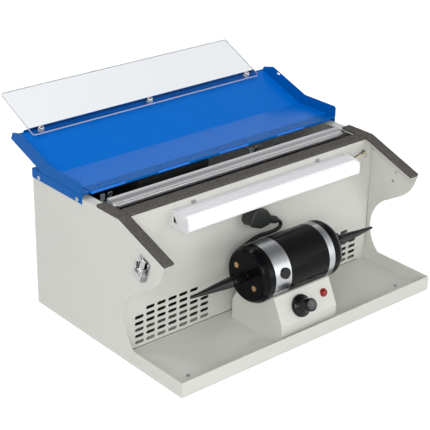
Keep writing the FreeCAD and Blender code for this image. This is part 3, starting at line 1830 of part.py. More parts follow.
# Motor lead: its route, from the plug to the gland, is measured from the plug's plane
lead_bend_share = 0.45
lead_unit = 10.0
lead_shares = [
    (4.01, 0.01, 13.62),
    (3.76, 0.01, 12.45),
    (1.6, 0.01, 12.32),
    (-0.4, 0.06, 12.44),
    (-2.6, -0.09, 12.05),
    (-4.6, -0.04, 11.35),
    (-5.7, 0.21, 9.8),
    (-4.6, 0.51, 7.9),
    (-3.0, 0.41, 6.59),
]
lead_start = V(0, cord_depth, 0) + origin_shift
lead_points = [plug_tip + origin_shift]
lead_points += [lead_start + V(*shares) * lead_unit for shares in lead_shares]
lead_points += [gland_mouth + origin_shift]
motor_lead, lead_radii, lead_length = cord(lead_points, cord_radius, lead_bend_share)
for point in lead_points:
    print("lead point", round(point.x, 2), round(point.y, 2), round(point.z, 2))
print("lead radii", [round(radius, 1) for radius in lead_radii], "length", round(lead_length, 1))
print("lead volume", motor_lead.Volume, math.pi * cord_radius * cord_radius * lead_length)


def write(name, shape):
    if not shape.isValid():
        print("not valid", name)
    shape.exportStep("parts/" + name + ".step")
    print(name, len(shape.Solids), round(shape.Volume))


for name, shape in nodes.items():
    placed = shape.copy()
    placed.translate(origin_shift)
    write(name, placed)
write("motor_lead", motor_lead)
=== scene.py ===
import json
import math

import bmesh
import bpy
from mathutils import Matrix, Vector, noise


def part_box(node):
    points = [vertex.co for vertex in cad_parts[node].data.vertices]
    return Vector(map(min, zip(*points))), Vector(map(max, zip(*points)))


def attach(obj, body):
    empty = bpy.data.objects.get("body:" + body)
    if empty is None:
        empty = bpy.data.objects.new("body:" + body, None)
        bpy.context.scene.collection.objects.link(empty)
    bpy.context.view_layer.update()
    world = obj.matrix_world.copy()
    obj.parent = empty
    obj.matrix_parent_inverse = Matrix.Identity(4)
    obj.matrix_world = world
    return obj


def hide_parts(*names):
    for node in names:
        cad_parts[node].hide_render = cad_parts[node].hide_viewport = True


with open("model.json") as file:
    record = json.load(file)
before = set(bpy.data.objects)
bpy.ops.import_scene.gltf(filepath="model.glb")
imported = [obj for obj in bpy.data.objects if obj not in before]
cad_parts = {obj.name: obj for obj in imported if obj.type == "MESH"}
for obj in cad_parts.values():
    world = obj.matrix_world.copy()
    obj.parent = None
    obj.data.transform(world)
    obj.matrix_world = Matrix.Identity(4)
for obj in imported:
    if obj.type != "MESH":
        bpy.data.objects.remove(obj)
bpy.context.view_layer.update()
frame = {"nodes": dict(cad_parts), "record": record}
nodes = frame["nodes"]
print("frame loaded,", len(nodes), "nodes")

# Pieces are drawn in millimetres: X from the middle, Y back from the tray's lip, Z up from the
# lower edge of the side panels. This carries them into the frame, in metres.
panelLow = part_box("side_panel_left")[0]
toFrame = Matrix.Translation((0, panelLow[1], panelLow[2])) @ Matrix.Scale(0.001, 4)


def newObject(name, data):
    thing = bpy.data.objects.new(name, data)
    bpy.context.scene.collection.objects.link(thing)
    return thing


# Camera at the photograph's place; its view is plain, with no shift
cameraValues = {
    "place": (-1197.37, -1151.95, 968.53),
    "turn": (65.0305, -1.0244, -40.4884),
    "lens": 109.03,
    "sensor": 36.0,
    "near": 0.05,
    "far": 20,
}
cameraData = bpy.data.cameras.new("camera")
cameraData.lens = cameraValues["lens"]
cameraData.sensor_width = cameraValues["sensor"]
cameraData.clip_start = cameraValues["near"]
cameraData.clip_end = cameraValues["far"]
camera = newObject("camera", cameraData)
camera.location = toFrame @ Vector(cameraValues["place"])
camera.rotation_euler = [math.radians(angle) for angle in cameraValues["turn"]]
bpy.context.scene.camera = camera
bpy.context.scene.view_settings.view_transform = "Standard"


# A smooth line through loose control points. Each point's radius gives the thickness.
lineValues = {"order": 3, "along": 12, "around": 5}


def smoothLine(name, points, radius):
    curve = bpy.data.curves.new(name, "CURVE")
    curve.dimensions = "3D"
    spline = curve.splines.new("NURBS")
    spline.points.add(len(points) - 1)
    for point, spot in zip(spline.points, points):
        point.co = (*spot, 1)
        point.radius = radius
    spline.order_u = lineValues["order"]
    spline.use_endpoint_u = True
    spline.resolution_u = lineValues["along"]
    curve.bevel_depth = 1.0
    curve.bevel_resolution = lineValues["around"]
    curve.use_fill_caps = True
    return newObject(name, curve)


# Motor lead: a free cord from the plug on the inner wall to the gland in the pedestal's rear
leadValues = {
    "radius": 0.003,
    "length": 0.1766,
    "route": [
        (0.02809, -0.10934, 0.14252),
        (0.04010, -0.10924, 0.13770),
        (0.03760, -0.10924, 0.12600),
        (0.01600, -0.10924, 0.12470),
        (-0.00400, -0.10874, 0.12590),
        (-0.02600, -0.11024, 0.12200),
        (-0.04600, -0.10974, 0.11500),
        (-0.05700, -0.10724, 0.09950),
        (-0.04600, -0.10424, 0.08050),
        (-0.03000, -0.10524, 0.06740),
        (-0.03000, -0.11617, 0.06214),
    ],
}

leadLine = smoothLine("motorLeadCord", leadValues["route"], leadValues["radius"])
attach(leadLine, "cabinet")
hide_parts("motor_lead")

# Lamp wires: three thin ones from the lamp's right cap to the hole in the inner wall
wireValues = {
    "radius": 0.0008,
    "length": 0.056,
    "finishes": ("pink_sleeve", "wire_sleeve", "dark_sleeve"),
    "routes": [
        [
            (0.184, -0.11554, 0.2005),
            (0.195, -0.11554, 0.2020),
            (0.214, -0.11334, 0.1985),
            (0.2284, -0.09994, 0.1945),
            (0.2284, -0.08994, 0.1945),
        ],
        [
            (0.184, -0.11334, 0.2005),
            (0.195, -0.11334, 0.2030),
            (0.2172, -0.10894, 0.2010),
            (0.2284, -0.09994, 0.1965),
            (0.2284, -0.08994, 0.1965),
        ],
        [
            (0.184, -0.11114, 0.2005),
            (0.195, -0.11114, 0.2035),
            (0.2172, -0.10454, 0.2060),
            (0.2284, -0.09994, 0.1985),
            (0.2284, -0.08994, 0.1985),
        ],
    ],
}
wireLines = []
for index, route in enumerate(wireValues["routes"]):
    wireLine = smoothLine("lampWire" + str(index + 1), route, wireValues["radius"])
    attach(wireLine, "cabinet")
    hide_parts("lamp_wires")
    wireLines.append(wireLine)
print("camera and cords done")


# Node groups that several finishes share
def newGroup(name, inputs, outputs):
    group = bpy.data.node_groups.new(name, "ShaderNodeTree")
    for label, kind, value in inputs:
        socket = group.interface.new_socket(name=label, in_out="INPUT", socket_type=kind)
        socket.default_value = value
    for label, kind in outputs:
        group.interface.new_socket(name=label, in_out="OUTPUT", socket_type=kind)
    start = group.nodes.new("NodeGroupInput")
    end = group.nodes.new("NodeGroupOutput")
    return group, start, end


def setInputs(node, values):
    for label, value in values.items():
        node.inputs[label].default_value = value


def joinAll(tree, joins):
    for giver, taker in joins:
        tree.links.new(giver, taker)


def mathNode(tree, operation, second=None):
    node = tree.nodes.new("ShaderNodeMath")
    node.operation = operation
    if second is not None:
        node.inputs[1].default_value = second
    return node


# Speckle: fine height and a slow colour drift, both on object coordinates. Stretch draws the
# grain out along an axis, as on brushed or turned metal.
speckleValues = {"grain": {"Detail": 3}, "slow": {"Scale": 14, "Detail": 2}, "middle": 0.5}


def speckleGroup():
    group, start, end = newGroup(
        "fineSpeckle",
        [
            ("Color", "NodeSocketColor", (0.5, 0.5, 0.5, 1)),
            ("Drift", "NodeSocketFloat", 0.05),
            ("Grain Scale", "NodeSocketFloat", 900.0),
            ("Stretch", "NodeSocketVector", (1.0, 1.0, 1.0)),
            ("Grain Tone", "NodeSocketFloat", 0.0),
            ("Roughness", "NodeSocketFloat", 0.5),
            ("Rough Drift", "NodeSocketFloat", 0.06),
        ],
        [("Color", "NodeSocketColor"), ("Height", "NodeSocketFloat"), ("Roughness", "NodeSocketFloat")],
    )
    coord = group.nodes.new("ShaderNodeTexCoord")
    drawnOut = group.nodes.new("ShaderNodeVectorMath")
    drawnOut.operation = "MULTIPLY"
    grain = group.nodes.new("ShaderNodeTexNoise")
    setInputs(grain, speckleValues["grain"])
    slow = group.nodes.new("ShaderNodeTexNoise")
    setInputs(slow, speckleValues["slow"])
    slowCentre = mathNode(group, "SUBTRACT", speckleValues["middle"])
    slowAmount = mathNode(group, "MULTIPLY")
    grainCentre = mathNode(group, "SUBTRACT", speckleValues["middle"])
    grainAmount = mathNode(group, "MULTIPLY")
    both = mathNode(group, "ADD")
    lift = mathNode(group, "ADD", 1.0)
    tone = group.nodes.new("ShaderNodeHueSaturation")
    rough = mathNode(group, "MULTIPLY_ADD")
    joins = [
        (coord.outputs["Object"], drawnOut.inputs[0]),
        (start.outputs["Stretch"], drawnOut.inputs[1]),
        (drawnOut.outputs["Vector"], grain.inputs["Vector"]),
        (coord.outputs["Object"], slow.inputs["Vector"]),
        (start.outputs["Grain Scale"], grain.inputs["Scale"]),
        (slow.outputs["Fac"], slowCentre.inputs[0]),
        (slowCentre.outputs[0], slowAmount.inputs[0]),
        (start.outputs["Drift"], slowAmount.inputs[1]),
        (grain.outputs["Fac"], grainCentre.inputs[0]),
        (grainCentre.outputs[0], grainAmount.inputs[0]),
        (start.outputs["Grain Tone"], grainAmount.inputs[1]),
        (slowAmount.outputs[0], both.inputs[0]),
        (grainAmount.outputs[0], both.inputs[1]),
        (both.outputs[0], lift.inputs[0]),
        (start.outputs["Color"], tone.inputs["Color"]),
        (lift.outputs[0], tone.inputs["Value"]),
        (grainCentre.outputs[0], rough.inputs[0]),
        (start.outputs["Rough Drift"], rough.inputs[1]),
        (start.outputs["Roughness"], rough.inputs[2]),
        (tone.outputs["Color"], end.inputs["Color"]),
        (grain.outputs["Fac"], end.inputs["Height"]),
        (rough.outputs[0], end.inputs["Roughness"]),
    ]
    joinAll(group, joins)
    return group


fineSpeckle = speckleGroup()


def newMaterial(name):
    material = bpy.data.materials.new(name)
    material.use_nodes = True
    return material, material.node_tree.nodes["Principled BSDF"]


# What a finish has where its own values don't say otherwise
plainValues = {
    "drift": 0.06,
    "grain": 900,
    "stretch": (1, 1, 1),
    "tone": 0.0,
    "roughDrift": 0.1,
    "bump": 0.15,
    "depth": 0.0002,
    "metal": 0.0,
    "specular": 0.5,
}


# A finish with grain: colour, roughness and bump come from the speckle group
def grainFinish(name, ownValues):
    values = {**plainValues, **ownValues}
    material, shader = newMaterial(name)
    tree = material.node_tree
    speckle = tree.nodes.new("ShaderNodeGroup")
    speckle.node_tree = fineSpeckle
    speckleInputs = {
        "Color": (*values["color"], 1),
        "Drift": values["drift"],
        "Grain Scale": values["grain"],
        "Stretch": values["stretch"],
        "Grain Tone": values["tone"],
        "Roughness": values["rough"],
        "Rough Drift": values["roughDrift"],
    }
    setInputs(speckle, speckleInputs)
    bump = tree.nodes.new("ShaderNodeBump")
    setInputs(bump, {"Strength": values["bump"], "Distance": values["depth"]})
    joins = [
        (speckle.outputs["Color"], shader.inputs["Base Color"]),
        (speckle.outputs["Roughness"], shader.inputs["Roughness"]),
        (speckle.outputs["Height"], bump.inputs["Height"]),
        (bump.outputs["Normal"], shader.inputs["Normal"]),
    ]
    joinAll(tree, joins)
    setInputs(shader, {"Metallic": values["metal"], "Specular IOR Level": values["specular"]})
    return material


finishValues = {
    "cream_paint": {
        "color": (0.69, 0.695, 0.65),
        "rough": 0.45,
        "grain": 1500,
        "bump": 0.1,
        "specular": 0.3,
    },
    "blue_paint": {
        "color": (0.0, 0.118, 0.45),
        "rough": 0.27,
        "grain": 1500,
        "bump": 0.06,
        "specular": 0.06,
    },
    # Lighter copy of the same blue paint for the sloped liner and its welds: painted light
    "liner_blue_painted_light": {
        "color": (0.0, 0.160, 0.66),
        "rough": 0.27,
        "grain": 1500,
        "bump": 0.06,
        "specular": 0.08,
    },
    # Darker copy of the blue paint for the hinge rivets: painted shade on the rivet dots
    "rivet_blue_painted_shade": {"color": (0.0, 0.06, 0.36), "rough": 0.25, "bump": 0.04, "specular": 0.2},
    # Brighter copy of the blue paint for the hinge barrel: a painted highlight
    "hinge_painted_highlight_blue": {"color": (0.001, 0.19, 0.80), "rough": 0.25, "grain": 700, "bump": 0.05, "tone": 0.1},
    "grey_foam": {
        "color": (0.108, 0.100, 0.092),
        "rough": 0.97,
        "grain": 620,
        "tone": 2.6,
        "bump": 0.9,
        "depth": 0.0006,
        "drift": 0.35,
        "specular": 0.15,
    },
    # Near-black: the filter foam is dark grey, darkened further as painted shade of the chamber behind
    # the rail
    "black_foam": {
        "color": (0.004, 0.004, 0.004),
        "rough": 1.0,
        "tone": 1.6,
        "bump": 1.0,
        "depth": 0.0012,
        "drift": 0.3,
        "specular": 0.05,
    },
    "aluminium": {
        "color": (0.66, 0.665, 0.68),
        "rough": 0.42,
        "metal": 1.0,
        "stretch": (0.03, 1, 1),
        "tone": 0.12,
        "bump": 0.12,
    },
    "satin_aluminium": {
        "color": (0.43, 0.445, 0.46),
        "rough": 0.27,
        "metal": 1.0,
        "grain": 700,
        "stretch": (1, 0.05, 0.05),
        "tone": 0.25,
        "bump": 0.12,
    },
    "zinc_steel": {"color": (0.55, 0.56, 0.57), "rough": 0.35, "metal": 1.0, "grain": 260, "tone": 0.3},
    "bright_steel": {"color": (0.66, 0.66, 0.67), "rough": 0.25, "metal": 1.0, "bump": 0.04},
    "bare_steel": {"color": (0.40, 0.40, 0.41), "rough": 0.4, "metal": 1.0, "bump": 0.1},
    "black_steel": {"color": (0.006, 0.006, 0.007), "rough": 0.24, "grain": 1200, "specular": 0.35},
    "dark_grey_paint": {"color": (0.012, 0.012, 0.011), "rough": 0.6, "grain": 1300, "specular": 0.2},
    "black_paint": {
        "color": (0.003, 0.0033, 0.004),
        "rough": 0.16,
        "grain": 1100,
        "bump": 0.03,
        "specular": 0.09,
    },
    "chrome": {
        "color": (0.42, 0.42, 0.42),
        "rough": 0.15,
        "metal": 1.0,
        "grain": 240,
        "tone": 0.3,
        "bump": 0.05,
    },
    "brass": {"color": (0.78, 0.52, 0.27), "rough": 0.24, "metal": 1.0, "grain": 700, "bump": 0.04},
    "copper": {"color": (0.55, 0.22, 0.10), "rough": 0.35, "metal": 1.0, "bump": 0.2},
    "carbon": {"color": (0.03, 0.03, 0.03), "rough": 0.6, "grain": 1800, "bump": 0.3},
    "white_plastic": {"color": (0.80, 0.80, 0.835), "rough": 0.33, "grain": 600, "bump": 0.02},
    "black_plastic": {"color": (0.005, 0.0053, 0.0055), "rough": 0.2, "grain": 1500, "specular": 0.26},
    "black_rubber": {"color": (0.007, 0.007, 0.008), "rough": 0.26, "grain": 1500, "specular": 0.45},
    "wire_sleeve": {"color": (0.80, 0.76, 0.46), "rough": 0.35, "bump": 0.03},
    "pink_sleeve": {"color": (0.74, 0.56, 0.70), "rough": 0.35, "bump": 0.03},
    "dark_sleeve": {"color": (0.05, 0.045, 0.045), "rough": 0.4, "bump": 0.03},
    "knob_grey": {"color": (0.055, 0.055, 0.058), "rough": 0.34, "grain": 1200, "bump": 0.05},
    "label_black": {"color": (0.0025, 0.0025, 0.003), "rough": 0.4, "grain": 1700, "specular": 0.12},
    "plug_grey": {"color": (0.024, 0.027, 0.026), "rough": 0.42, "grain": 1500, "specular": 0.4},
    # Near-black painted shade: laid on faces inside the dust chamber, the tray behind the inner panel
    # and the lamp recess floors
    "painted_shade_black": {"color": (0.006, 0.006, 0.006), "rough": 0.7, "grain": 1200, "specular": 0.1},
    "frosted_edge": {"color": (0.70, 0.67, 0.70), "rough": 0.35, "grain": 500, "bump": 0.06},
}
finishes = {name: grainFinish(name, values) for name, values in finishValues.items()}


# Clear acrylic, for the visor
clearValues = {
    "Base Color": (0.755, 0.78, 0.805, 1),
    "Roughness": 0.0,
    "IOR": 1.15,
    "Transmission Weight": 1.0,
}


def clearFinish(name, values):
    material, shader = newMaterial(name)
    setInputs(shader, values)
    return material


# Plastic that also glows a little: the lamp's opal diffuser and the red lens
def glowFinish(name, values):
    material = grainFinish(name, values)
    shader = material.node_tree.nodes["Principled BSDF"]
    setInputs(shader, {"Emission Color": (*values["glow"], 1), "Emission Strength": values["strength"]})
    return material


glowValues = {
    "opal_plastic": {
        "color": (0.93, 0.93, 0.94),
        "rough": 0.35,
        "grain": 500,
        "bump": 0.02,
        "drift": 0.02,
        "glow": (1, 1, 1),
        "strength": 0.22,
    },
    "red_plastic": {
        "color": (0.27, 0.0005, 0.005),
        "rough": 0.12,
        "grain": 700,
        "bump": 0.01,
        "glow": (0.6, 0.005, 0.02),
        "strength": 0.04,
    },
}
finishes["clear_acrylic"] = clearFinish("clear_acrylic", clearValues)
for name, values in glowValues.items():
    finishes[name] = glowFinish(name, values)
print("finishes done")

slotOf = {part["node"]: part["material_slot"] for part in frame["record"]["subparts"]}


def paint(thing, *names):
    thing.data.materials.clear()
    for name in names:
        thing.data.materials.append(finishes[name])


# Every node takes its finish; rigid nodes are then shown by merged copies with softened edges.
for name, node in nodes.items():
    paint(node, slotOf[name])
paint(leadLine, "black_rubber")
for wireLine, finish in zip(wireLines, wireValues["finishes"]):
    paint(wireLine, finish)


def bodyOf(name):
    for body, members in frame["record"]["behaviour"]["bodies"].items():
        if name in members:
            return body
    return None


# Tolerances: lengths in millimetres, unless the name says metres, and angles in degrees
meshValues = {
    "merge": 0.002,
    "mergeMetres": 0.000002,
    "close": 0.001,
    "closeMetres": 0.00001,
    "flat": 0.4,
    "smooth": 32,
    "sharp": 38,
    "edgeSteps": 2,
    "shadeWeight": 60,
}


def smoothByAngle(edit, degrees):
    for face in edit.faces:
        face.smooth = True
    for edge in edit.edges:
        edge.smooth = edge.calc_face_angle(0) < math.radians(degrees)


def newPiece(name, mesh, body, slotName, finish=None):
    piece = newObject(name, mesh)
    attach(piece, body)
    paint(piece, finish or slotName)
    return piece


def keptMesh(edit, name):
    mesh = bpy.data.meshes.new(name)
    edit.to_mesh(mesh)
    edit.free()
    return mesh


# Carries a piece drawn in millimetres into the frame, and gives it its body and finish
def makePiece(name, edit, body, slotName, finish=None, smooth=meshValues["smooth"]):
    bmesh.ops.remove_doubles(edit, verts=edit.verts, dist=meshValues["merge"])
    bmesh.ops.recalc_face_normals(edit, faces=edit.faces)
    bmesh.ops.transform(edit, matrix=toFrame, verts=edit.verts)
    smoothByAngle(edit, smooth)
    return newPiece(name, keptMesh(edit, name), body, slotName, finish)


def dissolveFlat(edit):
    bmesh.ops.dissolve_limit(
        edit,
        angle_limit=math.radians(meshValues["flat"]),
        verts=edit.verts,
        edges=edit.edges,
        use_dissolve_boundaries=False,
    )


def mergedNode(name):
    edit = bmesh.new()
    edit.from_mesh(nodes[name].data)
    bmesh.ops.remove_doubles(edit, verts=edit.verts, dist=meshValues["mergeMetres"])
    dissolveFlat(edit)
    return edit


def cutAcross(edit, spot, normal, close):
    geometry = edit.verts[:] + edit.edges[:] + edit.faces[:]
    bmesh.ops.bisect_plane(edit, geom=geometry, plane_co=spot, plane_no=normal, dist=close)


def bevelled(edit, geometry, width, steps, affect="EDGES"):
    bmesh.ops.bevel(
        edit,
        geom=geometry,
        offset=width,
        offset_type="OFFSET",
        segments=steps,
        profile=0.5,
        affect=affect,
        clamp_overlap=affect == "EDGES",
        material=-1,
    )


def softenEdges(edit, width):
    turn = math.radians(meshValues["sharp"])
    sharp = [edge for edge in edit.edges if len(edge.link_faces) == 2 and edge.calc_face_angle(0) > turn]
    bevelled(edit, sharp, width, meshValues["edgeSteps"])


softEdges = {
    "side_panel_left": 0.0003,
    "side_panel_right": 0.0003,
    "base_tray": 0.0003,
    "inner_panel": 0.0002,
    "rear_panel": 0.0003,
    "top_cover": 0.0003,
    "pedestal_shell": 0.0004,
    "lid_skin": 0.0002,
    "lid_liner": 0.0002,
    "motor_plug": 0.0005,
    "lamp_diffuser": 0.0002,
    "lamp_clips": 0.0002,
    "filter_frame": 0.0003,
    "filter_guides": 0.0002,
    "fan_housing": 0.0003,
    "fan_frame": 0.0005,
    "fan_rotor": 0.0003,
    "motor_case": 0.0002,
    "brush_housing": 0.0002,
    "drive_end_ring": 0.0002,
    "end_cap_left": 0.0003,
    "end_cap_right": 0.0003,
    "end_cap_screws": 0.0003,
    "brush_caps": 0.0005,
    "speed_control": 0.0002,
    "indicator_lamp": 0.0002,
    "lead_gland": 0.0003,
    "latch_bases": 0.0002,
    "latch_lever_left": 0.0002,
    "latch_lever_right": 0.0002,
    "latch_hook_left": 0.0002,
    "latch_hook_right": 0.0002,
    "mains_inlet": 0.0003,
    "switch_rocker": 0.0003,
    "rubber_feet": 0.0005,
    "panel_socket": 0.0005,
    "motor_saddle": 0.0003,
    "hinge_leaf_fixed": 0.0001,
    "hinge_leaf_lid": 0.0001,
    "visor": 0.0003,
    "visor_spacers": 0.0002,
}
softFinish = {
    # The fixed hinge leaf takes the brighter blue: painted highlight
    "hinge_leaf_fixed": "hinge_painted_highlight_blue",
    # The liner takes the lighter blue: painted light
    "lid_liner": "liner_blue_painted_light",
    "motor_plug": "plug_grey",
    "lamp_clips": "bare_steel",
}


# The filter frame's top rail is broadly rounded towards the front.
railValues = {"front": 186.0, "low": 215.0, "radius": 5.0, "newRadius": 12.0, "slack": 0.02}


def roundRail(edit):
    extra = railValues["newRadius"] - railValues["radius"]
    grow = railValues["newRadius"] / railValues["radius"]
    fromFrame = toFrame.inverted()
    for vert in edit.verts:
        spot = fromFrame @ vert.co
        back = railValues["front"] - spot.y
        rise = spot.z - railValues["low"]
        if min(back, rise) > -railValues["slack"]:
            spot.y = railValues["front"] + extra - back * grow
            spot.z = railValues["low"] - extra + rise * grow
            vert.co = toFrame @ spot


def softenedCopy(name, width):
    edit = mergedNode(name)
    softenEdges(edit, width)
    if name == "filter_frame":
        roundRail(edit)
    smoothByAngle(edit, meshValues["smooth"])
    mesh = keptMesh(edit, name + "Soft")
    piece = newPiece(name + "Soft", mesh, bodyOf(name), slotOf[name], softFinish.get(name))
    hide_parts(name)
    shade = piece.modifiers.new("evenShade", "WEIGHTED_NORMAL")
    shade.keep_sharp = True
    shade.weight = meshValues["shadeWeight"]
    return piece


softened = {name: softenedCopy(name, width) for name, width in softEdges.items()}

# Second finishes: the visor's cut edges are frosted and pale, and the faces that look into the dust
# chamber are painted near-black: painted shade of the chamber.
secondValues = {"edge": 0.9, "facing": 0.5, "height": 205, "wall": 137.6}


def secondFinish(name, finish, chosen):
    mesh = softened[name].data
    mesh.materials.append(finishes[finish])
    for face in mesh.polygons:
        if chosen(face):
            face.material_index = 1


visorFaces = softened["visor"].data.polygons
visorNormal = max(visorFaces, key=lambda face: face.area).normal.copy()
secondFinish(
    "visor",
    "frosted_edge",
    lambda face: abs(face.normal.dot(visorNormal)) < secondValues["edge"],
)


def inChamber(face, side):
    height = (toFrame.inverted() @ face.center).z
    return face.normal.y * side > secondValues["facing"] and height < secondValues["height"]


# Painted shade: faces looking into the chamber get the near-black finish
secondFinish("inner_panel", "painted_shade_black", lambda face: inChamber(face, 1))
secondFinish("filter_frame", "painted_shade_black", lambda face: inChamber(face, -1))

# The tray's floor is cut at the inner panel, so that the part behind it can take painted shade.
wallPlace = toFrame @ Vector((0, secondValues["wall"], 0))
tray = bmesh.new()
tray.from_mesh(softened["base_tray"].data)
cutAcross(tray, wallPlace, (0, 1, 0), 0)
tray.to_mesh(softened["base_tray"].data)
tray.free()
# Painted shade on the tray floor behind the inner panel
secondFinish(
    "base_tray",
    "painted_shade_black",
    lambda face: face.normal.z > secondValues["facing"] and face.center.y > wallPlace.y,
)
print("softened copies done")


# Foam: the node's own form, rounded, cut into short lengths and made a little uneven
foamValues = {
    "smooth": 50,
    "fill": 1.0,
    "foam_seals": {"step": 0.008, "round": 0.0012, "uneven": 0.00035, "wave": 120, "axes": (0, 1)},
    "filter_foam": {"step": 0.012, "round": 0.0008, "uneven": 0.0004, "wave": 160, "axes": (0, 2)},
}


def foamPiece(pieceName, node, values):
    edit = mergedNode(node)
    low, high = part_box(node)
    softenEdges(edit, values["round"])
    for axis in values["axes"]:
        normal = Vector((0, 0, 0))
        normal[axis] = 1
        for index in range(1, int((high[axis] - low[axis]) / values["step"])):
            spot = normal * (low[axis] + index * values["step"])
            cutAcross(edit, spot, normal, meshValues["closeMetres"])
    for vert in edit.verts:
        shake = noise.noise(vert.co * values["wave"])
        vert.co = vert.co - vert.normal * values["uneven"] * (0.5 + 0.5 * shake)
    smoothByAngle(edit, foamValues["smooth"])
    piece = newPiece(pieceName, keptMesh(edit, pieceName), bodyOf(node), slotOf[node])
    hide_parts(node)


foamPiece("foamStrips", "foam_seals", foamValues["foam_seals"])
foamPiece("filterFoam", "filter_foam", foamValues["filter_foam"])
print("foam done")


# Helpers for turned and stamped parts
def aimed(direction, spot):
    turn = Vector(direction).to_track_quat("Z", "Y").to_matrix().to_4x4()
    return Matrix.Translation(spot) @ turn


# A turned form: (radius, height) marks spun about Z
def lathe(marks, steps, closed=False):
    edit = bmesh.new()
    verts = [edit.verts.new((radius, 0, height)) for radius, height in marks]
    pairs = list(zip(verts, verts[1:]))
    if closed:
        pairs.append((verts[-1], verts[0]))
    edges = [edit.edges.new(pair) for pair in pairs]
    bmesh.ops.spin(
        edit,
        geom=verts + edges,
        axis=(0, 0, 1),
        cent=(0, 0, 0),
        angle=math.tau,
        steps=steps,
        use_merge=True,
    )
    bmesh.ops.remove_doubles(edit, verts=edit.verts, dist=meshValues["close"])
    bmesh.ops.recalc_face_normals(edit, faces=edit.faces)
    return edit


def turned(name, marks, steps):
    return keptMesh(lathe(marks, steps), name)


def stamp(edit, template, matrix):
    moved = template.copy()
    moved.transform(matrix)
    edit.from_mesh(moved)
    bpy.data.meshes.remove(moved)


rodSteps = 12
wireSides = 8


# A wire bent to a ring
def ring(radius, wire, steps):
    marks = []
    for index in range(wireSides):
        turn = math.tau * index / wireSides
        marks.append((radius + wire * math.cos(turn), wire * math.sin(turn)))
    return lathe(marks, steps, closed=True)


def rodMesh(name, radius, length):
    return turned(name, [(0, 0), (radius, 0), (radius, length), (0, length)], rodSteps)


# A closed run of edges through points
def closedLoop(edit, points):
    verts = [edit.verts.new(point) for point in points]
    return [edit.edges.new(pair) for pair in zip(verts, verts[1:] + verts[:1])]


def ofKind(result, kind):
    return [item for item in result["geom"] if isinstance(item, kind)]


def shiftOut(edit, pushed, shift):
    bmesh.ops.translate(edit, vec=shift, verts=ofKind(pushed, bmesh.types.BMVert))


# A screw's head: its top is cut along the cross, and what lies inside the cross is pressed down.
crossValues = {"steps": 28, "upward": 0.3, "lipShare": 0.12}


def screwMesh(name, values):
    arm, width = values["arm"], values["width"]
    edit = lathe(values["marks"], crossValues["steps"])
    for normal in (Vector((1, 0, 0)), Vector((0, 1, 0))):
        for distance in (-arm, -width, width, arm):
            cutAcross(edit, normal * distance, normal, meshValues["close"])
    cross = []
    for face in edit.faces:
        middle = face.calc_center_median()
        x, y = abs(middle.x), abs(middle.y)
        onTop = middle.z > values["floor"] and face.normal.z > crossValues["upward"]
        if onTop and ((x < width and y < arm) or (y < width and x < arm)):
            cross.append(face)
    lip, depth = width * crossValues["lipShare"], -values["depth"]
    bmesh.ops.inset_region(edit, faces=cross, thickness=lip, depth=depth, use_even_offset=True)
    return keptMesh(edit, name)


# Pan-head screws of the case, with cross recesses, and the small ones that hold the fan guard
screwValues = {
    "marks": [(0, -0.2), (3.2, -0.2), (3.2, 0.5), (3.0, 1.1), (2.5, 1.5), (1.7, 1.75), (0, 1.8)],
    "arm": 1.7,
    "width": 0.42,
    "depth": 0.9,
    "floor": 1.0,
    "coverSide": 251.2,
    "coverHeight": 212.9,
    "coverDepths": (233.8, 330.0),
    "trayPlace": (212.0, 33.8, 4.4),
    "rearPlace": (242.5, 348.2),
    "rearHeights": (20.0, 195.0),
    "fanMiddle": (-87.0, 350.2, 112.0),
    "fanReach": 52.5,
}


def makeScrews():
    values = screwValues
    head = screwMesh("panHead", values)
    edit = bmesh.new()
    for side in (-1, 1):
        for depth in values["coverDepths"]:
            spot = (side * values["coverSide"], depth, values["coverHeight"])
            stamp(edit, head, aimed((side, 0, 0), spot))
        x, y, z = values["trayPlace"]
        stamp(edit, head, aimed((0, 0, 1), (side * x, y, z)))
        x, y = values["rearPlace"]
        for height in values["rearHeights"]:
            stamp(edit, head, aimed((0, 1, 0), (side * x, y, height)))
    piece = makePiece("caseScrewHeads", edit, "cabinet", "zinc_steel")
    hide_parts("case_screws")
    x, y, z = values["fanMiddle"]
    reach = values["fanReach"]
    fans = bmesh.new()
    for across in (-1, 1):
        for up in (-1, 1):
            spot = (x + across * reach, y, z + up * reach)
            stamp(fans, head, aimed((0, 1, 0), spot))
    makePiece("fanScrewHeads", fans, "cabinet", "zinc_steel")


makeScrews()

# Rounded screws with a deep cross through the visor
visorScrewValues = {
    "marks": [(0, -0.1), (4.2, -0.1), (4.2, 0.5), (3.9, 1.2), (3.2, 1.9), (2.1, 2.3), (0, 2.4)],
    "arm": 2.2,
    "width": 0.5,
    "depth": 1.1,
    "floor": 1.2,
    "spacing": 205.5,
    "start": (382.0, 255.4),
    "along": 9.2,
    "proud": 3.0,
    "shankRadius": 2.0,
    "shank": 9.0,
    "angle": 24.7,
}


def makeVisorScrews():
    values = visorScrewValues
    head = screwMesh("visorHead", values)
    shank = rodMesh("visorShank", values["shankRadius"], values["shank"])
    tilt = math.radians(values["angle"])
    up = Vector((0, -math.sin(tilt), math.cos(tilt)))
    along = Vector((0, math.cos(tilt), math.sin(tilt)))
    y, z = values["start"]
    edit = bmesh.new()
    for index in (-1, 0, 1):
        spot = Vector((index * values["spacing"], y, z)) + along * values["along"] + up * values["proud"]
        stamp(edit, head, aimed(up, spot))
        stamp(edit, shank, aimed(-up, spot))
    piece = makePiece("visorScrewHeads", edit, "lid", "bright_steel")
    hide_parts("visor_screws")


makeVisorScrews()

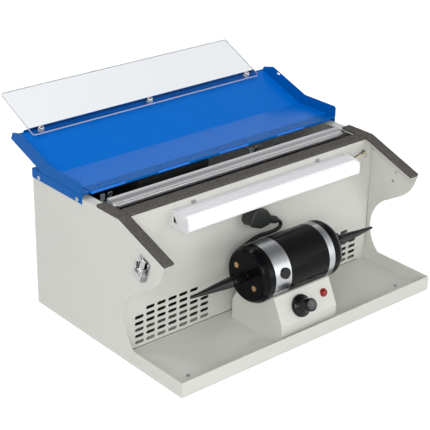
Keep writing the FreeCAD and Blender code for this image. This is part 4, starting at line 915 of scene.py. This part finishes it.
# Rivets of the hinge, spot welds on the liner, and the clenched rivet tails of the latches
rivetValues = {
    "hingeStart": -214.3,
    "hingePitch": 55.6,
    "hingeCount": 9,
    "hingeDepth": 233.1,
    "hingeHeight": 224.9,
    "hingeMarks": [(0, -0.1), (2.4, -0.1), (2.2, 0.4), (1.4, 0.7), (0, 0.8)],
    "hingeSteps": 16,
    "weldMarks": [(0, 0), (2.0, 0), (1.6, 0.15), (0, 0.22)],
    "weldSteps": 14,
    "welds": [(72.1, 151.8), (35.9, 107.5), (71.7, 94.8), (204.7, 95.9)],
    "linerStart": (304.3, 224.9),
    "linerTurn": 83.5,
    "linerSlope": 19.4,
    "tailMarks": [(0, -0.2), (2.6, -0.2), (2.5, 0.4), (1.8, 0.9), (1.0, 0.6), (0, 0.5)],
    "tailSteps": 18,
    "tails": [(83.4, 173.0), (87.5, 157.2)],
    "tailSide": 248.8,
    "dotMarks": [(0, -0.1), (1.3, -0.1), (1.1, 0.12), (0, 0.16)],
    "dotSteps": 14,
    "dotPlace": (250.0, 132.7, 211.0),
}


def makeRivets():
    values = rivetValues
    head = turned("hingeRivet", values["hingeMarks"], values["hingeSteps"])
    edit = bmesh.new()
    for index in range(values["hingeCount"]):
        x = values["hingeStart"] + index * values["hingePitch"]
        stamp(edit, head, Matrix.Translation((x, values["hingeDepth"], values["hingeHeight"])))
    makePiece("hingeRivets", edit, "lid", "blue_paint", "rivet_blue_painted_shade")

    slope = math.radians(values["linerSlope"])
    up = Vector((0, -math.sin(slope), math.cos(slope)))
    weld = turned("spotWeld", values["weldMarks"], values["weldSteps"])
    welds = bmesh.new()
    y, z = values["linerStart"]
    for x, distance in values["welds"]:
        run = distance - values["linerTurn"]
        for side in (-1, 1):
            stamp(welds, weld, aimed(up, (side * x, y + run, z + run * math.tan(slope))))
    makePiece("linerWelds", welds, "lid", "blue_paint", "liner_blue_painted_light")

    tail = turned("rivetTail", values["tailMarks"], values["tailSteps"])
    dot = turned("smallRivet", values["dotMarks"], values["dotSteps"])
    tails = bmesh.new()
    for side in (-1, 1):
        for y, z in values["tails"]:
            stamp(tails, tail, aimed((-side, 0, 0), (side * values["tailSide"], y, z)))
        x, y, z = values["dotPlace"]
        stamp(tails, dot, aimed((side, 0, 0), (side * x, y, z)))
    makePiece("latchRivetTails", tails, "cabinet", "zinc_steel")


makeRivets()
print("screws and rivets done")

# Lamp: grooved housing and end caps with a three-cornered recess and its brass contact
lampValues = {
    "left": -159.3,
    "right": 184.0,
    "cap": 3.0,
    "housing": [
        (137.0, 179.3),
        (137.0, 204.6),
        (133.6, 205.3),
        (133.2, 204.7),
        (132.4, 204.8),
        (132.0, 205.5),
        (130.0, 205.9),
        (126.6, 205.4),
        (126.2, 204.6),
        (125.4, 204.4),
        (125.0, 205.1),
        (120.6, 204.4),
        (120.2, 203.6),
        (119.4, 203.5),
        (119.0, 204.1),
        (111.0, 202.7),
        (111.0, 179.3),
    ],
    "capEdge": [
        (137.0, 178.5),
        (137.0, 206.0),
        (130.0, 206.5),
        (106.0, 203.2),
        (101.8, 201.4),
        (99.9, 197.6),
        (99.9, 184.8),
        (101.4, 180.6),
        (105.4, 178.6),
    ],
    "recess": [(133.6, 201.0), (133.6, 186.5), (123.0, 186.5)],
    "recessDepth": 1.9,
    "recessFloor": 0.3,
    "capRound": 0.5,
    "capSmooth": 40,
    "contact": (127.6, 188.9),
    "contactMarks": [(0, 0), (1.5, 0), (1.5, 0.9), (1.2, 1.2), (0.6, 1.2), (0.5, 0.6), (0, 0.6)],
    "contactSteps": 18,
    "contactSink": 0.1,
}


def profileSlab(edit, outline, start, end):
    edges = closedLoop(edit, [(start, y, z) for y, z in outline])
    filled = bmesh.ops.triangle_fill(edit, edges=edges, use_beauty=True)
    faces = ofKind(filled, bmesh.types.BMFace)
    pushed = bmesh.ops.extrude_face_region(edit, geom=faces, use_keep_orig=True)
    shiftOut(edit, pushed, (end - start, 0, 0))


def makeLampHousing():
    edit = bmesh.new()
    start = lampValues["left"] + lampValues["cap"]
    end = lampValues["right"] - lampValues["cap"]
    profileSlab(edit, lampValues["housing"], start, end)
    dissolveFlat(edit)
    piece = makePiece("lampHousingGrooved", edit, "cabinet", "white_plastic")
    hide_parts("lamp_housing")


# The cap's outer face has the recess as a hole, whose walls go in to a floor of their own.
def lampCap(edit, outer, inner, inward):
    floor = outer + inward * lampValues["recessDepth"]
    edgeLoop = closedLoop(edit, [(outer, y, z) for y, z in lampValues["capEdge"]])
    holeLoop = closedLoop(edit, [(outer, y, z) for y, z in lampValues["recess"]])
    bmesh.ops.triangle_fill(edit, edges=edgeLoop + holeLoop, use_beauty=True)
    for loop, stop in ((holeLoop, floor), (edgeLoop, inner)):
        pushed = bmesh.ops.extrude_edge_only(edit, edges=loop)
        shiftOut(edit, pushed, (stop - outer, 0, 0))
        rim = []
        for edge in ofKind(pushed, bmesh.types.BMEdge):
            if all(abs(vert.co.x - stop) < meshValues["close"] for vert in edge.verts):
                rim.append(edge)
        bmesh.ops.triangle_fill(edit, edges=rim, use_beauty=True)


def makeLampCaps():
    values = lampValues
    left, right, cap = values["left"], values["right"], values["cap"]
    edit = bmesh.new()
    lampCap(edit, left, left + cap, 1)
    lampCap(edit, right, right - cap, -1)
    bmesh.ops.recalc_face_normals(edit, faces=edit.faces)
    dissolveFlat(edit)
    softenEdges(edit, values["capRound"])
    piece = makePiece("lampCaps", edit, "cabinet", "white_plastic", smooth=values["capSmooth"])
    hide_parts("lamp_end_caps")

    contact = turned("lampContact", values["contactMarks"], values["contactSteps"])
    contacts = bmesh.new()
    plates = bmesh.new()
    y, z = values["contact"]
    depth = values["recessDepth"] + values["contactSink"]
    floor = values["recessFloor"]
    for x, inward in ((left, 1), (right, -1)):
        stamp(contacts, contact, aimed((-inward, 0, 0), (x + inward * depth, y, z)))
        # A thin near-black plate on each recess floor: painted shade in the recess
        start = x + inward * (values["recessDepth"] - floor / 2)
        profileSlab(plates, values["recess"], start, start + inward * floor)
    makePiece("lampContacts", contacts, "cabinet", "brass")
    makePiece("lampRecessShadePlates", plates, "cabinet", "white_plastic", "painted_shade_black")


makeLampHousing()
makeLampCaps()
print("lamp done")

# Blank label plate wrapped round the motor case
labelValues = {
    "left": -29.0,
    "right": 46.2,
    "startAngle": 97.0,
    "endAngle": 154.0,
    "radius": 43.42,
    "thickness": 0.3,
    "corner": 4.0,
    "cornerSteps": 5,
    "steps": 18,
    "axis": (65.5, 103.5),
}


# A flat plate is cut into strips across, bent round the motor's axis and given its thickness.
def makeLabel():
    values = labelValues
    edit = bmesh.new()
    bmesh.ops.create_grid(edit, x_segments=1, y_segments=1, size=0.5)
    radius = values["radius"]
    low = radius * math.radians(values["startAngle"])
    high = radius * math.radians(values["endAngle"])
    width = values["right"] - values["left"]
    middle = ((values["left"] + values["right"]) / 2, (low + high) / 2, 0)
    bmesh.ops.scale(edit, vec=(width, high - low, 1), verts=edit.verts)
    bmesh.ops.translate(edit, vec=middle, verts=edit.verts)
    bevelled(edit, edit.verts[:], values["corner"], values["cornerSteps"], "VERTICES")
    for index in range(1, values["steps"]):
        cut = low + (high - low) * index / values["steps"]
        cutAcross(edit, (0, cut, 0), (0, 1, 0), meshValues["close"])
    y, z = values["axis"]
    for vert in edit.verts:
        turn = vert.co.y / radius
        vert.co.y = y + radius * math.cos(turn)
        vert.co.z = z + radius * math.sin(turn)
    bmesh.ops.recalc_face_normals(edit, faces=edit.faces)
    face = edit.faces[:][0]
    if face.normal.dot(face.calc_center_median() - Vector((0, y, z))) < 0:
        bmesh.ops.reverse_faces(edit, faces=edit.faces)
    bmesh.ops.solidify(edit, geom=edit.faces[:], thickness=-values["thickness"])
    makePiece("motorLabelPlate", edit, "cabinet", "black_paint", "label_black")


makeLabel()

# Tapered spindles: a collar with two set screws, a shoulder and a cone with a cut thread.
# The two threads are of opposite hands, so that the buffs pull tight as the spindle turns.
taperValues = {
    "root": 80.9,
    "rightRoot": 79.2,
    "collar": 6.5,
    "collarEdge": 0.5,
    "collarEnd": 105.4,
    "shoulder": 8.0,
    "shoulderEdge": 0.6,
    "shoulderRise": 0.7,
    "coneStart": 114.0,
    "coneEnd": 181.0,
    "coneTip": 2.0,
    "tipMarks": [(1.5, 182.2), (0.9, 182.8), (0, 183.0)],
    "pitch": 1.9,
    "threadDepth": 0.32,
    "turns": 40,
    "rings": 140,
    "axis": (65.5, 103.5),
    "smooth": 50,
    "screwMarks": [(0, 0.1), (1.6, 0.1), (1.6, 0.35), (1.0, 0.35), (0.9, -0.9), (0, -0.9)],
    "screwSteps": 14,
    "screwPlace": 92.0,
    "screwTurns": (40, 220),
    "screwSink": 0.1,
}


def coneRadius(distance):
    start, end = taperValues["coneStart"], taperValues["coneEnd"]
    share = min(max((distance - start) / (end - start), 0), 1)
    return taperValues["shoulder"] + (taperValues["coneTip"] - taperValues["shoulder"]) * share


def taperPiece(pieceName, node, root, side):
    values = taperValues
    collar, edge, step = values["collar"], values["collarEdge"], values["collarEnd"]
    shoulder, rise = values["shoulder"], values["shoulderRise"]
    marks = [(0, root), (collar - edge, root), (collar, root + edge), (collar, step)]
    marks += [(shoulder - values["shoulderEdge"], step + rise), (shoulder, step + 2 * rise)]
    marks += [(shoulder, values["coneStart"])]
    length = values["coneEnd"] - values["coneStart"]
    for index in range(1, values["rings"] + 1):
        place = values["coneStart"] + length * index / values["rings"]
        marks.append((coneRadius(place), place))
    edit = lathe(marks + values["tipMarks"], values["turns"])
    for vert in edit.verts:
        if values["coneStart"] < vert.co.z < values["coneEnd"]:
            turn = math.atan2(vert.co.y, vert.co.x) / math.tau
            phase = (vert.co.z / values["pitch"] - turn) % 1.0
            cut = 1 - values["threadDepth"] * (1 - abs(2 * phase - 1)) / math.hypot(vert.co.x, vert.co.y)
            vert.co.x *= cut
            vert.co.y *= cut
    screw = turned("setScrew", values["screwMarks"], values["screwSteps"])
    for turn in values["screwTurns"]:
        way = Vector((math.cos(math.radians(turn)), math.sin(math.radians(turn)), 0))
        spot = way * (collar - values["screwSink"]) + Vector((0, 0, values["screwPlace"]))
        stamp(edit, screw, aimed(way, spot))
    y, z = values["axis"]
    bmesh.ops.transform(edit, matrix=Matrix.Rotation(math.radians(90), 4, "Y"), verts=edit.verts)
    if side < 0:
        bmesh.ops.scale(edit, vec=(-1, 1, 1), verts=edit.verts)
    bmesh.ops.translate(edit, vec=(0, y, z), verts=edit.verts)
    piece = makePiece(pieceName, edit, "spindle", "black_steel", smooth=values["smooth"])
    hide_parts(node)


taperPiece("taperLeft", "taper_spindle_left", taperValues["root"], -1)
taperPiece("taperRight", "taper_spindle_right", taperValues["rightRoot"], 1)
print("label and tapers done")

# Speed knob: black domed skirt and barrel, and a dished grey insert in its end
knobValues = {
    "place": (-13.4, 10.4, 36.0),
    "lean": 26.0,
    "up": 19.2,
    "gap": 0.6,
    "body": [
        (6.1, 0.0),
        (16.3, 0.0),
        (16.9, 0.5),
        (17.0, 1.2),
        (17.0, 2.2),
        (16.7, 3.6),
        (16.0, 5.0),
        (14.9, 6.2),
        (13.6, 7.1),
        (12.3, 7.7),
        (11.2, 8.3),
        (10.6, 9.3),
        (10.4, 11.0),
        (10.1, 17.0),
        (9.85, 23.4),
        (9.7, 24.8),
        (9.3, 25.6),
        (8.7, 25.9),
        (8.1, 25.7),
        (7.9, 25.0),
        (7.9, 24.6),
        (0, 24.6),
        (0, 14.2),
        (3.05, 14.2),
        (3.05, 1.5),
        (6.1, 1.5),
    ],
    "insert": [
        (0, 24.5),
        (7.8, 24.5),
        (7.8, 25.6),
        (7.4, 25.95),
        (6.7, 25.9),
        (6.2, 25.5),
        (4.2, 25.1),
        (0, 24.95),
    ],
    "bodySteps": 48,
    "insertSteps": 40,
}


def makeKnob():
    values = knobValues
    lean = math.radians(values["lean"])
    normal = Vector((0, -math.cos(lean), math.sin(lean)))
    climb = Vector((0, math.sin(lean), math.cos(lean)))
    spot = Vector(values["place"]) + climb * values["up"] + normal * values["gap"]
    body = lathe(values["body"], values["bodySteps"])
    bmesh.ops.transform(body, matrix=aimed(normal, spot), verts=body.verts)
    piece = makePiece("knobBody", body, bodyOf("speed_knob"), "black_plastic")
    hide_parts("speed_knob")
    insert = lathe(values["insert"], values["insertSteps"])
    bmesh.ops.transform(insert, matrix=aimed(normal, spot), verts=insert.verts)
    cap = makePiece("knobInsert", insert, bodyOf("speed_knob"), "black_plastic", "knob_grey")
    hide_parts("speed_knob")


makeKnob()

# Wire guard over the fan: rings on four spokes that end in screw loops
guardValues = {
    "middle": (-87.0, 349.2, 112.0),
    "rings": (14.0, 28.5, 43.0, 57.0),
    "wire": 0.95,
    "spoke": 1.0,
    "reach": 52.5,
    "proud": 0.3,
    "loop": 4.2,
    "ringSteps": 48,
    "loopSteps": 24,
    "smooth": 60,
}


def makeGuard():
    values = guardValues
    middle = Vector(values["middle"])
    edit = bmesh.new()
    for radius in values["rings"]:
        hoop = keptMesh(ring(radius, values["wire"], values["ringSteps"]), "guardHoop")
        stamp(edit, hoop, aimed((0, 1, 0), middle + Vector((0, values["proud"], 0))))
    loop = keptMesh(ring(values["loop"], values["wire"], values["loopSteps"]), "guardLoop")
    outer = values["reach"] * math.sqrt(2) - values["loop"]
    spoke = rodMesh("guardSpoke", values["spoke"], outer - values["rings"][0])
    for across in (-1, 1):
        for up in (-1, 1):
            way = Vector((across, 0, up)).normalized()
            centre = middle + Vector((across * values["reach"], 0, up * values["reach"]))
            stamp(edit, loop, aimed((0, 1, 0), centre))
            stamp(edit, spoke, aimed(way, middle + way * values["rings"][0]))
    piece = makePiece("fanWireGuard", edit, "cabinet", slotOf["fan_guard"], smooth=values["smooth"])
    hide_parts("fan_guard")


makeGuard()
print("knob and guard done")

# Two small catches that hold the filter frame from behind
catchValues = {
    "back": 213.0,
    "frameBack": 198.0,
    "thick": 1.2,
    "low": 206.0,
    "top": 219.6,
    "places": [(-227.0, -204.0), (54.0, 77.0)],
    "prongPitch": 0.56,
    "prongWide": 0.42,
    "prongTaper": (2.0, 1.5),
    "prongCorner": 1.4,
    "footHigh": 2.4,
    "footCorner": 0.8,
    "strapLow": (-7.5, 1.0),
    "strapTop": (6.5, 0.6),
    "strapWide": 3.2,
    "strapGap": 1.0,
    "strapThick": 0.9,
    "strapCorner": 0.6,
    "cornerSteps": 4,
}


def outlinePlate(edit, outline, depth, thickness, corner):
    verts = [edit.verts.new((x, depth, z)) for x, z in outline]
    face = edit.faces.new(verts)
    pushed = bmesh.ops.extrude_face_region(edit, geom=[face], use_keep_orig=True)
    shiftOut(edit, pushed, (0, thickness, 0))
    upright = []
    for vert in ofKind(pushed, bmesh.types.BMVert):
        for edge in vert.link_edges:
            if edge.other_vert(vert) in verts:
                upright.append(edge)
    bevelled(edit, upright, corner, catchValues["cornerSteps"])


def makeCatches():
    values = catchValues
    top, low, back = values["top"], values["low"], values["back"]
    footTop = low + values["footHigh"]
    footDeep = back + values["thick"] - values["frameBack"]
    lowTaper, topTaper = values["prongTaper"]
    plates = bmesh.new()
    straps = bmesh.new()
    for start, end in values["places"]:
        for index in (0, 1):
            near = start + index * (end - start) * values["prongPitch"]
            far = near + (end - start) * values["prongWide"]
            prong = [(near, low), (far - lowTaper, low), (far, top), (near + topTaper, top)]
            outlinePlate(plates, prong, back, values["thick"], values["prongCorner"])
        foot = [(start, low), (end, low), (end, footTop), (start, footTop)]
        outlinePlate(plates, foot, values["frameBack"], footDeep, values["footCorner"])
        lowX = (start + end) / 2 + values["strapLow"][0]
        topX = (start + end) / 2 + values["strapTop"][0]
        lowZ = low + values["strapLow"][1]
        topZ = top - values["strapTop"][1]
        wide = values["strapWide"]
        slant = [(lowX, lowZ), (lowX + wide, lowZ), (topX + wide, topZ), (topX, topZ)]
        depth = back - values["strapGap"]
        outlinePlate(straps, slant, depth, values["strapThick"], values["strapCorner"])
    makePiece("filterCatches", plates, "cabinet", "zinc_steel")
    makePiece("catchStraps", straps, "cabinet", "black_rubber")


makeCatches()
print("catches done")

# Floor and light: pale floor, white where the camera and mirrors see past it
studioValues = {
    "floorSize": 6.0,
    "floor": {
        "Base Color": (0.84, 0.84, 0.84, 1),
        "Roughness": 0.9,
        "Specular IOR Level": 0.2,
        "Emission Color": (1, 1, 1, 1),
    },
    "floorLift": 0.58,
    "world": 0.43,
    "ceiling": {"From Min": 0.5, "From Max": 0.85, "To Min": 1.0, "To Max": 0.12},
    "aim": (0, 0, 0.12),
}
lightValues = {
    "keyLamp": {"place": (-1.5, -1.75, 1.1), "power": 24.0, "size": 0.9},
    "fillLamp": {"place": (0.9, -2.2, 0.6), "power": 11.5, "size": 1.2},
    "backLamp": {"place": (-0.6, 1.2, 2.2), "power": 10.0, "size": 0.8},
    "glintLamp": {"place": (-1.0, 0.2, 1.7), "power": 2.4, "size": 0.14},
}


# 1 for what the camera sees, straight, in a mirror or through glass, and 0 for plain light
def seenRays(tree):
    paths = tree.nodes.new("ShaderNodeLightPath")
    seen = mathNode(tree, "MAXIMUM")
    more = mathNode(tree, "MAXIMUM")
    joins = [
        (paths.outputs["Is Camera Ray"], seen.inputs[0]),
        (paths.outputs["Is Glossy Ray"], seen.inputs[1]),
        (seen.outputs[0], more.inputs[0]),
        (paths.outputs["Is Transmission Ray"], more.inputs[1]),
    ]
    joinAll(tree, joins)
    return more.outputs[0]


def makeFloor():
    edit = bmesh.new()
    bmesh.ops.create_grid(edit, x_segments=1, y_segments=1, size=studioValues["floorSize"])
    floor = newObject("floor", keptMesh(edit, "floor"))
    material, shader = newMaterial("floorPaper")
    tree = material.node_tree
    setInputs(shader, studioValues["floor"])
    lift = mathNode(tree, "MULTIPLY", studioValues["floorLift"])
    joins = [
        (seenRays(tree), lift.inputs[0]),
        (lift.outputs[0], shader.inputs["Emission Strength"]),
    ]
    joinAll(tree, joins)
    floor.data.materials.append(material)


# The sky is white to the camera, to mirrors and through glass, and darker high overhead.
def makeWorld():
    world = bpy.data.worlds.new("studio")
    world.use_nodes = True
    tree = world.node_tree
    background = tree.nodes["Background"]
    coord = tree.nodes.new("ShaderNodeTexCoord")
    split = tree.nodes.new("ShaderNodeSeparateXYZ")
    height = tree.nodes.new("ShaderNodeMapRange")
    height.interpolation_type = "SMOOTHSTEP"
    setInputs(height, studioValues["ceiling"])
    strength = tree.nodes.new("ShaderNodeMix")
    strength.data_type = "FLOAT"
    setInputs(strength, {"A": studioValues["world"]})
    joins = [
        (coord.outputs["Generated"], split.inputs[0]),
        (split.outputs["Z"], height.inputs["Value"]),
        (seenRays(tree), strength.inputs["Factor"]),
        (height.outputs["Result"], strength.inputs["B"]),
        (strength.outputs["Result"], background.inputs["Strength"]),
    ]
    joinAll(tree, joins)
    setInputs(background, {"Color": (1, 1, 1, 1)})
    bpy.context.scene.world = world


def makeLight(name, values):
    data = bpy.data.lights.new(name, "AREA")
    data.energy = values["power"]
    data.size = values["size"]
    light = newObject(name, data)
    light.location = values["place"]
    aim = Vector(studioValues["aim"]) - Vector(values["place"])
    light.rotation_euler = aim.to_track_quat("-Z", "Y").to_euler()


makeFloor()
makeWorld()
for name, values in lightValues.items():
    makeLight(name, values)
print("studio done")

bpy.context.view_layer.update()
